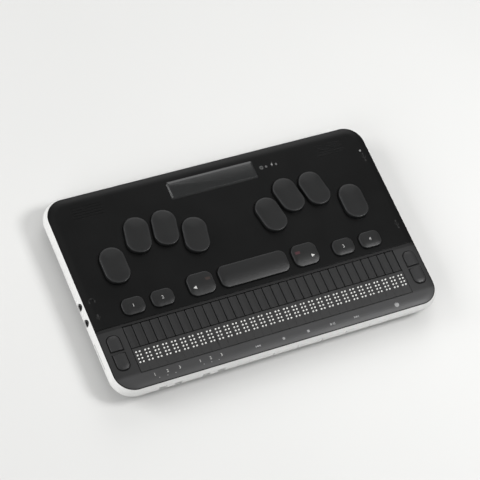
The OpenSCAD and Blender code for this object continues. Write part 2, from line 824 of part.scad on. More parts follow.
module battery_cover() {
    gap = battery_cover_gap;
    color(slate)
        difference() {
            translate([0, bay_y, 0])
                rounded_plate(
                    bay_cover_w - 2 * gap, bay_cover_d - 2 * gap, battery_cover_r - gap,
                    foot_h, foot_h + battery_cover_t
                );
            for (p = bay_screws)
                translate([p[0], p[1], 0])
                    screw_hole(bay_screw_r, bay_head_r, bay_head_h, floor_z + slack);
        }
}

module side_band() {
    color(silver)
        difference() {
            rounded_sweep(body_w, body_d, corner_r, band_bottom, band_top)
                band_profile();
            rounded_plate(inner_w, inner_d, inner_x, band_bottom - slack, band_top + slack);
            for (y = jack_y)
                translate([-body_w / 2 - slack, line_y + y, jack_z])
                    rotate([0, 90, 0])
                        cylinder(r = jack_nose_r + socket_gap, h = corner_r);
            for (y = usb_y)
                translate([body_w / 2 - corner_r / 2, y, usb_z])
                    rotate([90, 0, 90])
                        linear_extrude(corner_r)
                            rounded_rectangle(
                                usb_w + 2 * socket_gap, usb_h + 2 * socket_gap, usb_h / 2
                            );
            translate([-body_w / 2 - slack, line_y + side_slot_y, waist_z + side_slot_up])
                rotate([90, 0, 90])
                    linear_extrude(side_slot_t + slack)
                        rounded_rectangle(side_slot_l, side_slot_h, side_slot_h / 2 - hair);
            front_slot(media_x, media_l, button_h);
            front_slot(power_x, power_w, button_h);
            for (x = slide_x)
                front_slot(x, slide_l, slide_h);
        }
}

// A slot through the front of the band, with the buttons' gap on every side
module front_slot(x, l, h) {
    translate([x, -body_d / 2, button_z])
        cube([l + 2 * button_gap, 2 * corner_r, h + 2 * button_gap], center = true);
}

// The deck and the front bezel are one moulded form, cut along the seam
module cover_form() {
    rounded_sweep(body_w, body_d, corner_r, band_top, deck_z)
        cover_profile();
    rounded_plate(
        inner_w - 2 * lip_gap, inner_d - 2 * lip_gap, inner_x - lip_gap, deck_under, band_top + slack
    );
}

module cover_screw_boss(r, bottom) {
    translate([0, 0, bottom])
        cylinder(r = r, h = band_top - bottom);
}

module cover_screw_bore(bottom) {
    translate([0, 0, bottom - slack])
        cylinder(r = screw_r + screw_gap / 2, h = screw_reach + 2 * slack);
}

module top_cover() {
    color(graphite)
        difference() {
            union() {
                difference() {
                    cover_form();
                    translate([-body_w, seam_y + seam_gap / 2 - body_d, 0])
                        cube([2 * body_w, body_d, deck_z + slack]);
                }
                for (p = cover_posts)
                    translate([p[0], p[1], 0])
                        cover_screw_boss(post_r, board_top);
                for (p = board_bosses)
                    translate([p[0], p[1], 0]) {
                        cover_screw_boss(board_boss_r, keypad_z);
                        cover_screw_boss(stake_r, keypad_z - keypad_t - stake_out);
                    }
            }
            for (p = cover_posts)
                translate([p[0], p[1], 0])
                    cover_screw_bore(board_top);
            deck_openings();
            translate([0, lcd_y, 0]) {
                rounded_plate(
                    lcd_w + 2 * lcd_gap, lcd_d + 2 * lcd_gap, lcd_r + lcd_gap,
                    deck_z - lcd_sink, deck_z + slack
                );
                rounded_plate(
                    lcd_w - 2 * lcd_ledge, lcd_d - 2 * lcd_ledge, lcd_r, deck_under - slack, deck_z
                );
            }
            for (p = lights)
                translate([p[0], p[1], deck_under - slack])
                    cylinder(r = light_r + pin_gap, h = deck_z - deck_under + 2 * slack);
            for (side = [-1, 1])
                translate([side * speaker_x, speaker_y, 0])
                    grille_slots();
        }
}

module grille_slots() {
    for (i = [0:slots - 1])
        translate([0, (i - (slots - 1) / 2) * slot_pitch, deck_under - slack])
            linear_extrude(deck_z - deck_under + 2 * slack)
                rounded_rectangle(slot_l, slot_w, slot_w / 2 - hair);
}

// Every key's opening in the deck is the key's outline and the key gap
module deck_openings() {
    for (i = [1:8])
        at_dot_key(i)
            key_opening(dot_key_w, dot_key_d, dot_key_r);
    for (i = [1:4])
        at_function_key(i)
            key_opening(fn_w, fn_d, fn_r);
    for (i = [0:1])
        at_thumb_key(i)
            key_opening(arrow_w, thumb_d, thumb_r);
    at_thumb_key(2)
        key_opening(space_w, thumb_d, thumb_r);
}

module key_opening(w, d, r) {
    rounded_plate(
        w + 2 * key_gap, d + 2 * key_gap, r + key_gap, deck_under - slack, deck_z + slack
    );
}

module at_dot_key(i) {
    rank = dot_rank(i);
    side = dot_side(i);
    translate([side * dot_key_x[rank], deck_mid + dot_key_y[rank], 0])
        rotate(rank < 3 ? side * dot_key_lean : 0)
            children();
}

// Function keys 1 to 4 run from left to right
module at_function_key(i) {
    side = i < 3 ? -1 : 1;
    translate([side * fn_x[i == 1 || i == 4 ? 1 : 0], seam_y + fn_y, 0])
        children();
}

// Thumb keys are the left arrow, the right arrow and the space bar
module at_thumb_key(i) {
    translate([[-arrow_x, arrow_x, 0][i], seam_y + thumb_y, 0])
        children();
}

// A crowned key with a flange under the deck and a foot over its switch
module key(w, d, r, rise, crown, travel) {
    rim_z = deck_z + rise - crown;
    crown_w = r - key_bevel;
    crown_r = (crown_w * crown_w + crown * crown) / (2 * crown);
    rounded_sweep(w, d, r, flange_z, deck_z + rise)
        polygon(concat(
            [[0, flange_z], [r, flange_z], [r, rim_z - key_bevel]],
            arc([0, deck_z + rise - crown_r], crown_r, acos(crown_w / crown_r), 90)
        ));
    rounded_plate(w + 2 * flange, d + 2 * flange, r + flange, flange_z, flange_z + flange_t);
    translate([0, 0, switch_z + travel + press_gap])
        cylinder(r = plunger_r, h = flange_z - switch_z - travel - press_gap + slack);
}

module dot_key(i) {
    color(graphite)
        at_dot_key(i)
            key(dot_key_w, dot_key_d, dot_key_r, dot_key_rise, dot_key_crown, dot_key_travel);
}

module function_key(i) {
    color(graphite)
        at_function_key(i)
            key(fn_w, fn_d, fn_r, fn_rise, low_crown, low_travel);
}

module thumb_key(i) {
    color(graphite)
        at_thumb_key(i)
            key(
                i == 2 ? space_w : arrow_w, thumb_d, thumb_r,
                i == 2 ? space_rise : arrow_rise, low_crown, low_travel
            );
}

module front_bezel() {
    color(slate)
        difference() {
            union() {
                difference() {
                    cover_form();
                    translate([-body_w, seam_y - seam_gap / 2, 0])
                        cube([2 * body_w, body_d, deck_z + slack]);
                }
                for (p = bezel_posts)
                    translate([p[0], p[1], 0])
                        cover_screw_boss(bezel_post_r, board_z);
            }
            translate([-window_w / 2, window_front, deck_under - slack])
                cube([window_w, window_back - window_front, deck_z - deck_under + 2 * slack]);
            for (p = bezel_posts)
                translate([p[0], p[1], 0])
                    cover_screw_bore(board_z);
            for (i = [0:3])
                at_scroll_key(i)
                    half_pill(scroll_d(i), key_gap)
                        rounded_plate(
                            scroll_w + 2 * key_gap, 2 * (scroll_d(i) + key_gap),
                            scroll_r + key_gap, deck_under - slack, deck_z + slack
                        );
        }
}

// Scroll keys are upper left, lower left, upper right and lower right
function scroll_d(i) = i % 2 == 0 ? scroll_up_d : scroll_down_d;

// The flat end of a scroll key, with the key running away from it
module at_scroll_key(i) {
    side = i < 2 ? -1 : 1;
    up = i % 2 == 0 ? 1 : -1;
    translate([side * scroll_x, line_y + scroll_split + up * scroll_gap / 2, 0])
        rotate(up > 0 ? 0 : 180)
            children();
}

// The half of a pill that lies beyond a flat end, which may reach back a little
module half_pill(d, back) {
    intersection() {
        children();
        translate([-scroll_w, -back, 0])
            cube([2 * scroll_w, 2 * d, deck_z + 2 * scroll_rise]);
    }
}

module scroll_key(i) {
    d = scroll_d(i);
    top = deck_z + scroll_rise;
    crown_r = (scroll_r * scroll_r + low_crown * low_crown) / (2 * low_crown);
    foot_z = switch_z + low_travel + press_gap;
    color(slate)
        at_scroll_key(i) {
            half_pill(d, 0)
                rounded_sweep(scroll_w, 2 * d, scroll_r, flange_z, top)
                    polygon(concat(
                        [[0, flange_z], [scroll_r, flange_z]],
                        arc([0, top - crown_r], crown_r, acos(scroll_r / crown_r), 90)
                    ));
            half_pill(d, flange)
                rounded_plate(
                    scroll_w + 2 * flange, 2 * (d + flange), scroll_r + flange,
                    flange_z, flange_z + flange_t
                );
            translate([0, d / 2, foot_z])
                cylinder(r = plunger_r, h = flange_z - foot_z + slack);
        }
}

module lcd_window() {
    top = deck_z + lcd_rise;
    color([0.2, 0.22, 0.22])
        translate([0, lcd_y, 0])
            rounded_sweep(lcd_w, lcd_d, lcd_r, deck_z - lcd_sink, top)
                polygon([
                    [0, deck_z - lcd_sink], [lcd_r, deck_z - lcd_sink], [lcd_r, deck_z],
                    [lcd_r - lcd_bevel, top], [0, top]
                ]);
}

module lcd_module() {
    glass_t = 0.8;
    glass_in = 1;
    frame_w = lcd_w + 2 * lcd_frame_x;
    frame_d = lcd_d + 2 * lcd_frame_y;
    top = deck_under - stack_gap;
    color([0.35, 0.38, 0.34])
        translate([0, lcd_y, 0])
            difference() {
                translate([-frame_w / 2, -frame_d / 2, top - lcd_module_h])
                    cube([frame_w, frame_d, lcd_module_h]);
                rounded_plate(
                    lcd_w - 2 * lcd_ledge - glass_in, lcd_d - 2 * lcd_ledge - glass_in, lcd_r,
                    top - glass_t, top + slack
                );
            }
}

module main_board() {
    color(board_green)
        difference() {
            union() {
                translate([0, (board_front + board_back) / 2, 0])
                    rounded_plate(
                        board_w, board_back - board_front, corner_r - board_gap - wall,
                        board_z, board_top
                    );
                for (side = [-1, 1], y = chip_y)
                    translate([side * chip_x - chip_w / 2, line_y + y - chip_w / 2, board_top - slack])
                        cube([chip_w, chip_w, chip_h + slack]);
            }
            for (p = cover_posts)
                translate([p[0], p[1], board_z - slack])
                    cylinder(r = screw_r + screw_gap, h = board_t + 2 * slack);
        }
}

// The keypad board carries every key's switch, and its two arms run beside the cells
module keypad_board() {
    z = keypad_z - keypad_t;
    color(board_green)
        difference() {
            union() {
                translate([-keypad_w / 2, bridge_front, z])
                    cube([keypad_w, keypad_back - bridge_front, keypad_t]);
                translate([-scroll_x - arm_w / 2, bridge_front, z])
                    cube([2 * scroll_x + arm_w, bridge_back - bridge_front, keypad_t]);
                for (side = [-1, 1])
                    translate([side * scroll_x - arm_w / 2, arm_front, z])
                        cube([arm_w, bridge_back - arm_front, keypad_t]);
            }
            for (p = board_bosses)
                translate([p[0], p[1], z - slack])
                    cylinder(r = stake_r + screw_gap, h = keypad_t + 2 * slack);
        }
}

module key_switch() {
    translate([-switch_w / 2, -switch_w / 2, keypad_z])
        cube([switch_w, switch_w, switch_h / 2]);
    translate([0, 0, keypad_z])
        cylinder(r = dome_r, h = switch_h);
}

module key_switches() {
    color("dimgray") {
        for (i = [1:8])
            at_dot_key(i)
                key_switch();
        for (i = [1:4])
            at_function_key(i)
                key_switch();
        for (i = [0:2])
            at_thumb_key(i)
                key_switch();
        for (i = [0:3])
            at_scroll_key(i)
                translate([0, scroll_d(i) / 2, 0])
                    key_switch();
    }
}

module braille_cell() {
    difference() {
        union() {
            translate([-cell_w / 2, line_y - cell_front, cell_z])
                cube([cell_w, cell_front + cell_back, cell_top - cell_z]);
            translate([-cell_w / 2, line_y - cap_front, cell_top - slack])
                cube([cell_w, cap_front + cap_back, cap_h + slack]);
        }
        for (i = [1:8])
            translate([dot_place(i)[0], line_y + dot_place(i)[1], bore_z])
                cylinder(r = bore_r, h = cap_z - bore_z + slack);
    }
}

module braille_cells() {
    color(slate)
        for (i = [0:cell_n - 1])
            translate([cell_x(i), 0, 0])
                braille_cell();
}

module pin() {
    rotate_extrude() {
        square([pin_r, pin_len - pin_r]);
        intersection() {
            translate([0, pin_len - pin_r])
                circle(pin_r);
            square([pin_r, pin_len]);
        }
    }
}

module pins_dot(i) {
    color("white")
        for (c = [0:cell_n - 1])
            translate([cell_x(c) + dot_place(i)[0], line_y + dot_place(i)[1], pin_z])
                pin();
}

module cell_backplane() {
    color(board_green)
        translate([-line_w / 2, line_y - cell_front, backplane_z])
            cube([line_w, cell_front + cell_back, backplane_t]);
}

module routing_board() {
    front = line_y + cap_back + routing_gap;
    pad = routing_pad_w;
    color(board_green) {
        translate([-line_w / 2, front, routing_board_z])
            cube([line_w, line_y + cell_back - front, routing_board_t]);
        for (i = [0:cell_n - 1])
            translate([cell_x(i) - pad / 2, routing_y - pad / 2, routing_board_z])
                cube([pad, pad, routing_board_t + routing_pad_h]);
    }
}

module routing_key() {
    tail_h = deck_under - flange_gap - routing_z;
    along_x(routing_w - 2 * routing_r)
        translate([routing_y - routing_d / 2, routing_z])
            square([routing_d, routing_h]);
    for (side = [-1, 1])
        translate([side * (routing_w / 2 - routing_r), routing_y, 0])
            rotate([90, 0, 0])
                linear_extrude(routing_d, center = true) {
                    translate([-routing_r, routing_z])
                        square([2 * routing_r, routing_h - routing_r]);
                    translate([0, routing_top - routing_r])
                        circle(routing_r);
                }
    translate([-routing_w / 4, routing_y + routing_d / 2 - slack, routing_z])
        cube([routing_w / 2, routing_tail + slack, tail_h]);
}

module routing_keys(n) {
    color(slate)
        for (i = [(n - 1) * keys_per_bank:min(n * keys_per_bank, cell_n) - 1])
            translate([cell_x(i), 0, 0])
                routing_key();
}

// A piece in the front of the band: it ends in the band's own outer face,
// and a wider plate keeps it behind the band
module front_piece(x, w, h, plate_w) {
    plate_h = h + 2 * button_lip;
    color(silver)
        translate([x, 0, 0]) {
            along_x(w)
                intersection() {
                    mirror([1, 0])
                        translate([body_d / 2 - corner_r, 0])
                            band_profile();
                    translate([-body_d / 2, button_z - h / 2])
                        square([body_d / 2 + button_back, h]);
                }
            translate([-plate_w / 2, button_back - button_lip_t, button_z - plate_h / 2])
                cube([plate_w, button_lip_t, plate_h]);
        }
}

module front_button(x, w) {
    front_piece(x, w, button_h, w);
}

module media_button(i) {
    front_button(media_x + (i - 3) * media_pitch, media_w);
}

module power_button() {
    front_button(power_x, power_w);
}

module slide_switch(i) {
    front_piece(slide_x[i], slide_w, slide_h, slide_base);
}

module front_switch_board() {
    board_in = 1;
    board_l = line_w - 2 * board_in;
    board_low = band_bottom + 2 * stack_gap;
    board_high = deck_under - slack;
    pad_w = front_switch_w;
    pad_h = front_switch_h;
    color(board_green) {
        translate([-board_l / 2, front_board_y, board_low])
            cube([board_l, front_board_t, board_high - board_low]);
        for (x = concat([for (i = [-2:2]) media_x + i * media_pitch], [power_x]))
            translate([x - pad_w / 2, switch_front, button_z - pad_h / 2])
                cube([pad_w, front_switch_d + stack_gap, pad_h]);
        for (x = slide_x)
            translate([x - slide_l / 2, button_back + 2 * stack_gap, button_z - pad_h / 2])
                cube([slide_l, front_board_y - button_back, pad_h]);
    }
}

module battery_pack() {
    z = foot_h + battery_cover_t + stack_gap;
    color([0.15, 0.2, 0.3])
        translate([0, bay_y, 0])
            rounded_plate(battery_w, battery_d, battery_r, z, band_bottom - 3 * stack_gap);
}

module speakers() {
    w = slot_l + 2 * speaker_rim;
    d = (slots - 1) * slot_pitch + slot_w + 2 * speaker_rim;
    top = deck_under - stack_gap;
    color("black")
        for (side = [-1, 1])
            translate([side * speaker_x, speaker_y, 0])
                difference() {
                    rounded_plate(w, d, speaker_r, board_top, top);
                    rounded_plate(
                        w - 2 * speaker_rim, d - 2 * speaker_rim, speaker_r, top - cone_depth, top + slack
                    );
                }
}

module audio_jacks() {
    shoulder = inner_w / 2 - lip_gap;
    color("dimgray")
        for (y = jack_y)
            translate([0, line_y + y, jack_z])
                difference() {
                    union() {
                        translate([-shoulder, -jack_w / 2, -jack_h / 2])
                            cube([jack_l - socket_face + shoulder, jack_w, jack_h]);
                        translate([-socket_face, 0, 0])
                            rotate([0, 90, 0])
                                cylinder(r = jack_nose_r, h = jack_l / 2);
                    }
                    translate([-socket_face - slack, 0, 0])
                        rotate([0, 90, 0])
                            cylinder(r = jack_bore_r, h = jack_bore_l + slack);
                }
}

module usb_c_ports() {
    color("silver")
        for (y = usb_y)
            translate([socket_face - usb_l, y, usb_z])
                rotate([90, 0, 90]) {
                    difference() {
                        linear_extrude(usb_l)
                            rounded_rectangle(usb_w, usb_h, usb_r);
                        translate([0, 0, usb_end])
                            linear_extrude(usb_l)
                                rounded_rectangle(
                                    usb_w - 2 * usb_wall, usb_h - 2 * usb_wall, usb_r - usb_wall
                                );
                    }
                    translate([-tongue_w / 2, -tongue_t / 2, usb_end - slack])
                        cube([tongue_w, tongue_t, usb_l - tongue_in - usb_end + slack]);
                }
}

module rubber_feet() {
    color([0.05, 0.05, 0.05])
        for (p = feet)
            translate([p[0], p[1], 0])
                cylinder(r = foot_r, h = foot_h + foot_sink);
}

module case_screws() {
    color("gray") {
        for (p = cover_posts)
            translate([p[0], p[1], 0])
                screw(screw_r, screw_head_r, screw_head_h, screw_sink, board_top + screw_reach);
        for (p = bezel_posts)
            translate([p[0], p[1], 0])
                screw(screw_r, screw_head_r, screw_head_h, screw_sink, board_z + screw_reach);
        for (p = bay_screws)
            translate([p[0], p[1], 0])
                screw(bay_screw_r, bay_head_r, bay_head_h, 0, floor_z + bay_reach);
    }
}

module status_lights() {
    base_r = 2 * light_r;
    base_t = 0.6;
    base_z = deck_under - stack_gap - base_t;
    color([0.9, 0.9, 0.85])
        for (p = lights)
            translate([p[0], p[1], base_z]) {
                cylinder(r = base_r, h = base_t);
                cylinder(r = light_r, h = deck_z - base_z);
            }
}

bottom_case();
battery_cover();
side_band();
top_cover();
front_bezel();
lcd_window();
lcd_module();
main_board();
keypad_board();
key_switches();
braille_cells();
cell_backplane();
routing_board();
front_switch_board();
battery_pack();
speakers();
audio_jacks();
usb_c_ports();
rubber_feet();
case_screws();
status_lights();
for (i = [1:8])
    dot_key(i);
for (i = [1:4])
    function_key(i);
for (i = [0:2])
    thumb_key(i);
for (i = [0:3])
    scroll_key(i);
for (i = [1:5])
    media_button(i);
power_button();
for (i = [0:1])
    slide_switch(i);
for (i = [1:8])
    pins_dot(i);
for (i = [1:banks])
    routing_keys(i);
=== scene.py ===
"""Scene of a portable braille display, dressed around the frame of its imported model.

The classes hold their sizes in millimetres, and the meshes are in metres.
"""
import logging
import math
from dataclasses import dataclass, field
from enum import Enum
from typing import Callable, Iterable, Iterator, Optional, Sequence, Union

import bmesh
import bpy
from mathutils import Matrix, Quaternion, Vector


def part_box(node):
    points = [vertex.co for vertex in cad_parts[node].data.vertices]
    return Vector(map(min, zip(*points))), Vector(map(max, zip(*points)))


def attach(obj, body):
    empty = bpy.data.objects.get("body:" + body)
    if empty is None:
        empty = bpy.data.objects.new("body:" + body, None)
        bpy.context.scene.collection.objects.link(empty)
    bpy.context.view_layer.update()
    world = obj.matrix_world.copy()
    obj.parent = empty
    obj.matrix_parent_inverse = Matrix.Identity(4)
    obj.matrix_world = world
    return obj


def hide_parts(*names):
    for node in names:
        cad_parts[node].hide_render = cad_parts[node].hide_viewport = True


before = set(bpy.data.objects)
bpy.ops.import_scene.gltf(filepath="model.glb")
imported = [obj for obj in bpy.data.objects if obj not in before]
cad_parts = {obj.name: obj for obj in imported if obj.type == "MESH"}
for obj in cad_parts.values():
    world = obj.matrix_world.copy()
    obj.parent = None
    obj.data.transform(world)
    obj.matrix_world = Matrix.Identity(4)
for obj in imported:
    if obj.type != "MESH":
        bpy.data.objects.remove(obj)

LOG = logging.getLogger("braille_display")
MM = 0.001
WELD = 1e-6
CASE = "case"
Point = tuple[float, float]
Triple = tuple[float, float, float]
Height = Callable[[float, float], float]
Test = Callable[[Vector], bool]


# Node trees

def joined(operation: str, swapped: bool = False) -> Callable[["Term", "Value"], "Term"]:
    """Give a method that joins a term and a value by a Math node.

    Args:
        operation: The Math node's operation.
        swapped: Whether the value comes before the term.

    Returns:
        The method.
    """
    def method(self: "Term", other: "Value") -> "Term":
        """Join the term and the value."""
        pair = (other, self) if swapped else (self, other)
        return self.graph.add("ShaderNodeMath", {"operation": operation}, dict(enumerate(pair)))

    return method


class Term:
    """A node's output that takes part in Python arithmetic."""

    def __init__(self, graph: "Graph", node: bpy.types.Node, output: Union[int, str] = 0) -> None:
        """Hold one output of a node.

        Args:
            graph: The graph that the node is in.
            node: The node.
            output: The output's name or number.
        """
        self.graph = graph
        self.node = node
        self.socket = node.outputs[output]

    def output(self, key: Union[int, str]) -> "Term":
        """Give another output of the same node."""
        return Term(self.graph, self.node, key)

    __add__, __radd__ = joined("ADD"), joined("ADD", True)
    __sub__, __rsub__ = joined("SUBTRACT"), joined("SUBTRACT", True)
    __mul__, __rmul__ = joined("MULTIPLY"), joined("MULTIPLY", True)
    above = joined("GREATER_THAN")


Value = Union[Term, float]


class Graph:
    """A material's nodes, with its shader and its object coordinates at hand."""

    def __init__(self, name: str) -> None:
        """Make a material with a Principled shader.

        Args:
            name: The material's name.
        """
        self.material = bpy.data.materials.new(name)
        self.material.use_nodes = True
        self.tree = self.material.node_tree
        self.shader = self.tree.nodes["Principled BSDF"]
        self.place = self.add("ShaderNodeTexCoord").output("Object")

    def add(
        self, kind: str, settings: Optional[dict] = None, sockets: Optional[dict] = None
    ) -> Term:
        """Add a node.

        Args:
            kind: The node's type.
            settings: Its settings, set first.
            sockets: Values or terms for its inputs, by name or number.

        Returns:
            The node's first output.
        """
        node = self.tree.nodes.new(kind)
        for key, value in (settings or {}).items():
            setattr(node, key, value)
        for key, value in (sockets or {}).items():
            self.feed(node.inputs[key], value)
        return Term(self, node)

    def feed(self, socket: bpy.types.NodeSocket, value: object) -> None:
        """Link a term to a socket, or set a plain value on it.

        Args:
            socket: The socket.
            value: The term or plain value.
        """
        if isinstance(value, Term):
            self.tree.links.new(value.socket, socket)
        else:
            socket.default_value = value

    def shade(self, **sockets: object) -> None:
        """Set the shader's sockets, with _ for a space in a name."""
        for key, value in sockets.items():
            self.feed(self.shader.inputs[key.replace("_", " ")], value)

    def noise(self, grain: float, detail: float = 2.0, place: Optional[Term] = None) -> Term:
        """Add noise of a given grain.

        Args:
            grain: Size of a grain in millimetres.
            detail: Octaves of finer noise.
            place: Coordinates, or None for the object's own.

        Returns:
            The noise, from 0 to 1 about a middle of 0.5.
        """
        sockets = {"Vector": place or self.place, "Scale": 1 / (grain * MM), "Detail": detail}
        return self.add("ShaderNodeTexNoise", {}, sockets)

    def cells(self, size: float, **settings: str) -> Term:
        """Add a Voronoi pattern with cells of a given size in millimetres."""
        sockets = {"Vector": self.place, "Scale": 1 / (size * MM)}
        return self.add("ShaderNodeTexVoronoi", settings, sockets)

    def along(self, axis: str) -> Term:
        """Give the object's coordinate along an axis, in metres."""
        return self.add("ShaderNodeSeparateXYZ", {}, {0: self.place}).output(axis)

    def stretched(self, scale: Triple) -> Term:
        """Give the object's coordinates scaled by axis."""
        return self.add("ShaderNodeMapping", {}, {"Vector": self.place, "Scale": scale})

    def mix(self, factor: Value, first: object, second: object, blend: str = "MIX") -> Term:
        """Mix two colours by a factor."""
        settings = {"data_type": "RGBA", "blend_type": blend}
        return self.add("ShaderNodeMix", settings, {0: factor, 6: first, 7: second}).output(2)

    def bump(self, height: Term, depth: float) -> Term:
        """Turn a height from 0 to 1 into a normal, for a depth in millimetres."""
        return self.add("ShaderNodeBump", {}, {"Height": height, "Distance": depth * MM})


# Finishes

def rgba(colour: Triple, gain: float = 1.0) -> tuple[float, float, float, float]:
    """Give a colour with its alpha, made lighter or darker by a gain."""
    return (colour[0] * gain, colour[1] * gain, colour[2] * gain, 1.0)


@dataclass(frozen=True)
class Finish:
    """A surface: its record slot, colour and gloss."""

    slot: str
    colour: Triple
    rough: float
    specular: float = 0.5

    def material(self) -> bpy.types.Material:
        """Make the material at its first use, and give it again after that.

        Returns:
            The material.
        """
        name = f"{self.slot}_finish"
        made = bpy.data.materials.get(name)
        if made is None:
            graph = Graph(name)
            graph.shade(Specular_IOR_Level=self.specular)
            self.wire(graph)
            made = graph.material
        return made

    def gains(self, low: float, high: float) -> tuple[tuple, tuple]:
        """Give the colour at two gains."""
        return rgba(self.colour, low), rgba(self.colour, high)

    def wire(self, graph: Graph) -> None:
        """Wire the colour, gloss and relief of the surface."""
        raise NotImplementedError


@dataclass(frozen=True)
class Moulded(Finish):
    """Moulded plastic with a spark-eroded grain and faint clouding from the mould."""

    grain: float = 0.35
    depth: float = 0.012
    mottle: float = 0.12
    spread: float = 0.10
    cloud: float = 22.0
    cloud_share: float = 0.6

    def wire(self, graph: Graph) -> None:
        """Wire fine grain for relief, and wide clouds with it for colour and gloss.

        Args:
            graph: The material's graph.
        """
        grain, cloud = graph.noise(self.grain, detail=3.0), graph.noise(self.cloud)
        graph.shade(
            Base_Color=self.tint(graph, grain, cloud),
            Roughness=self.gloss(graph, grain, cloud),
            Normal=graph.bump(grain, self.depth),
        )

    def tone(self, grain: Term, cloud: Term) -> Term:
        """Give the mottling, from 0 to 1."""
        return self.cloud_share * cloud + (1 - self.cloud_share) * grain

    def tint(self, graph: Graph, grain: Term, cloud: Term) -> Term:
        """Give the colour."""
        return graph.mix(self.tone(grain, cloud), *self.gains(1 - self.mottle, 1 + self.mottle))

    def gloss(self, graph: Graph, grain: Term, cloud: Term) -> Term:
        """Give the roughness."""
        return self.rough + self.spread * (grain - 0.5) + self.spread * (cloud - 0.5)


@dataclass(frozen=True)
class Rested(Moulded):
    """Bezel plastic: lighter on the front strip as painted sheen, and darker on the rail at the back."""

    strip_from: float = -60.5
    strip_gain: float = 2.4
    rail_from: float = -28.2
    rail_gain: float = 0.2
    blend: float = 2.0

    def tint(self, graph: Graph, grain: Term, cloud: Term) -> Term:
        """Give the colour, which changes along the depth, with painted sheen on the front strip.

        Args:
            graph: The material's graph.
            grain: The fine noise.
            cloud: The wide noise.

        Returns:
            The colour.
        """
        along = graph.along("Y")
        ramp = (self.strip_from * MM - along) * (1 / (self.blend * MM))
        strip = graph.add("ShaderNodeClamp", {}, {0: ramp})
        # Painted sheen: the front strip's colour is raised to stand in for light off its rolled edge.
        plain = graph.mix(strip, *self.gains(1.0, self.strip_gain))
        railed = graph.mix(along.above(self.rail_from * MM), plain, rgba(self.colour, self.rail_gain))
        tone = (1 - self.mottle) + 2 * self.mottle * self.tone(grain, cloud)
        grey = graph.add("ShaderNodeCombineColor", {}, {0: tone, 1: tone, 2: tone})
        return graph.mix(1.0, railed, grey, "MULTIPLY")


@dataclass(frozen=True)
class Touched(Moulded):
    """Key plastic: the grain is polished smoother where fingers rest, and the colour is lighter at the rim,
    a painted highlight with some rubbing.
    """

    cloud_share: float = 0.5
    polish: float = 0.10
    rim_polish: float = 0.08
    rim_gain: float = 2.8
    rim_base: float = 0.55

    def rim(self, graph: Graph) -> Term:
        """Give how near the rim a place is, from the mesh's own attribute."""
        return graph.add("ShaderNodeAttribute", {"attribute_name": "rim"}).output("Fac")

    def tint(self, graph: Graph, grain: Term, cloud: Term) -> Term:
        """Give the colour, lighter at the rim: a painted highlight with some rubbing.

        Args:
            graph: The material's graph.
            grain: The fine noise.
            cloud: The wide noise.

        Returns:
            The colour.
        """
        # Painted highlight with some rubbing: the colour is made lighter towards the rim.
        lit_and_rubbed = self.rim(graph) * (self.rim_base + (1 - self.rim_base) * grain)
        plain = super().tint(graph, grain, cloud)
        return graph.mix(lit_and_rubbed, plain, rgba(self.colour, self.rim_gain))

    def gloss(self, graph: Graph, grain: Term, cloud: Term) -> Term:
        """Give the roughness, polished smoother by clouds and at the rim.

        Args:
            graph: The material's graph.
            grain: The fine noise.
            cloud: The wide noise.

        Returns:
            The roughness.
        """
        rim = self.rim(graph)
        lit_and_rubbed = self.polish * (1 - rim) * cloud + self.rim_polish * rim
        return self.rough - lit_and_rubbed + self.spread * (grain - 0.5)


@dataclass(frozen=True)
class Painted(Finish):
    """Pale silver paint with fine metal flakes and a soft orange peel."""

    flake: float = 0.18
    sparkle: float = 0.12
    metal: float = 0.12
    spread: float = 0.10
    peel: float = 0.9
    peel_depth: float = 0.004

    def wire(self, graph: Graph) -> None:
        """Wire flakes for colour, metal and gloss.

        Args:
            graph: The material's graph.
        """
        flakes = graph.cells(self.flake, feature="F1").output("Color")
        tone = graph.add("ShaderNodeSeparateColor", {}, {"Color": flakes}).output("Red")
        graph.shade(
            Base_Color=graph.mix(tone, *self.gains(1 - self.sparkle, 1.0)),
            Metallic=self.metal * tone,
            Roughness=self.rough + self.spread * (tone - 0.5),
            Normal=graph.bump(graph.noise(self.peel, detail=1.0), self.peel_depth),
        )


@dataclass(frozen=True)
class Lens(Finish):
    """Dark glossy window with finger marks."""

    smear: float = 5.0
    smear_stretch: Triple = (1.0, 2.6, 1.0)
    smear_middle: float = 0.4
    smear_spread: float = 0.07
    smear_depth: float = 0.0008
    speck: float = 0.5
    speck_spread: float = 0.03
    mottle: float = 0.08

    def wire(self, graph: Graph) -> None:
        """Wire smears and specks into the gloss.

        Args:
            graph: The material's graph.
        """
        smear = graph.noise(self.smear, detail=4.0, place=graph.stretched(self.smear_stretch))
        speck = graph.noise(self.speck, detail=1.0)
        dull = self.smear_spread * (smear - self.smear_middle)
        graph.shade(
            Base_Color=graph.mix(smear, *self.gains(1 - self.mottle, 1 + self.mottle)),
            Roughness=self.rough + dull + self.speck_spread * speck,
            Normal=graph.bump(smear, self.smear_depth),
        )


@dataclass(frozen=True)
class Metal(Finish):
    """Drawn or turned metal with fine lines along one axis."""

    lines: Triple = (1.0, 12.0, 12.0)
    line_grain: float = 0.8
    line_spread: float = 0.18
    line_depth: float = 0.004
    tarnish: float = 3.0
    tarnish_gains: Point = (0.78, 1.06)
    tarnish_spread: float = 0.12

    def wire(self, graph: Graph) -> None:
        """Wire stretched noise for the lines and clouds for tarnish.

        Args:
            graph: The material's graph.
        """
        line = graph.noise(self.line_grain, detail=3.0, place=graph.stretched(self.lines))
        tarnish = graph.noise(self.tarnish)
        dull = self.tarnish_spread * (tarnish - 0.5)
        graph.shade(
            Base_Color=graph.mix(tarnish, *self.gains(*self.tarnish_gains)),
            Metallic=1.0,
            Roughness=self.rough + self.line_spread * (line - 0.5) + dull,
            Normal=graph.bump(line, self.line_depth),
        )


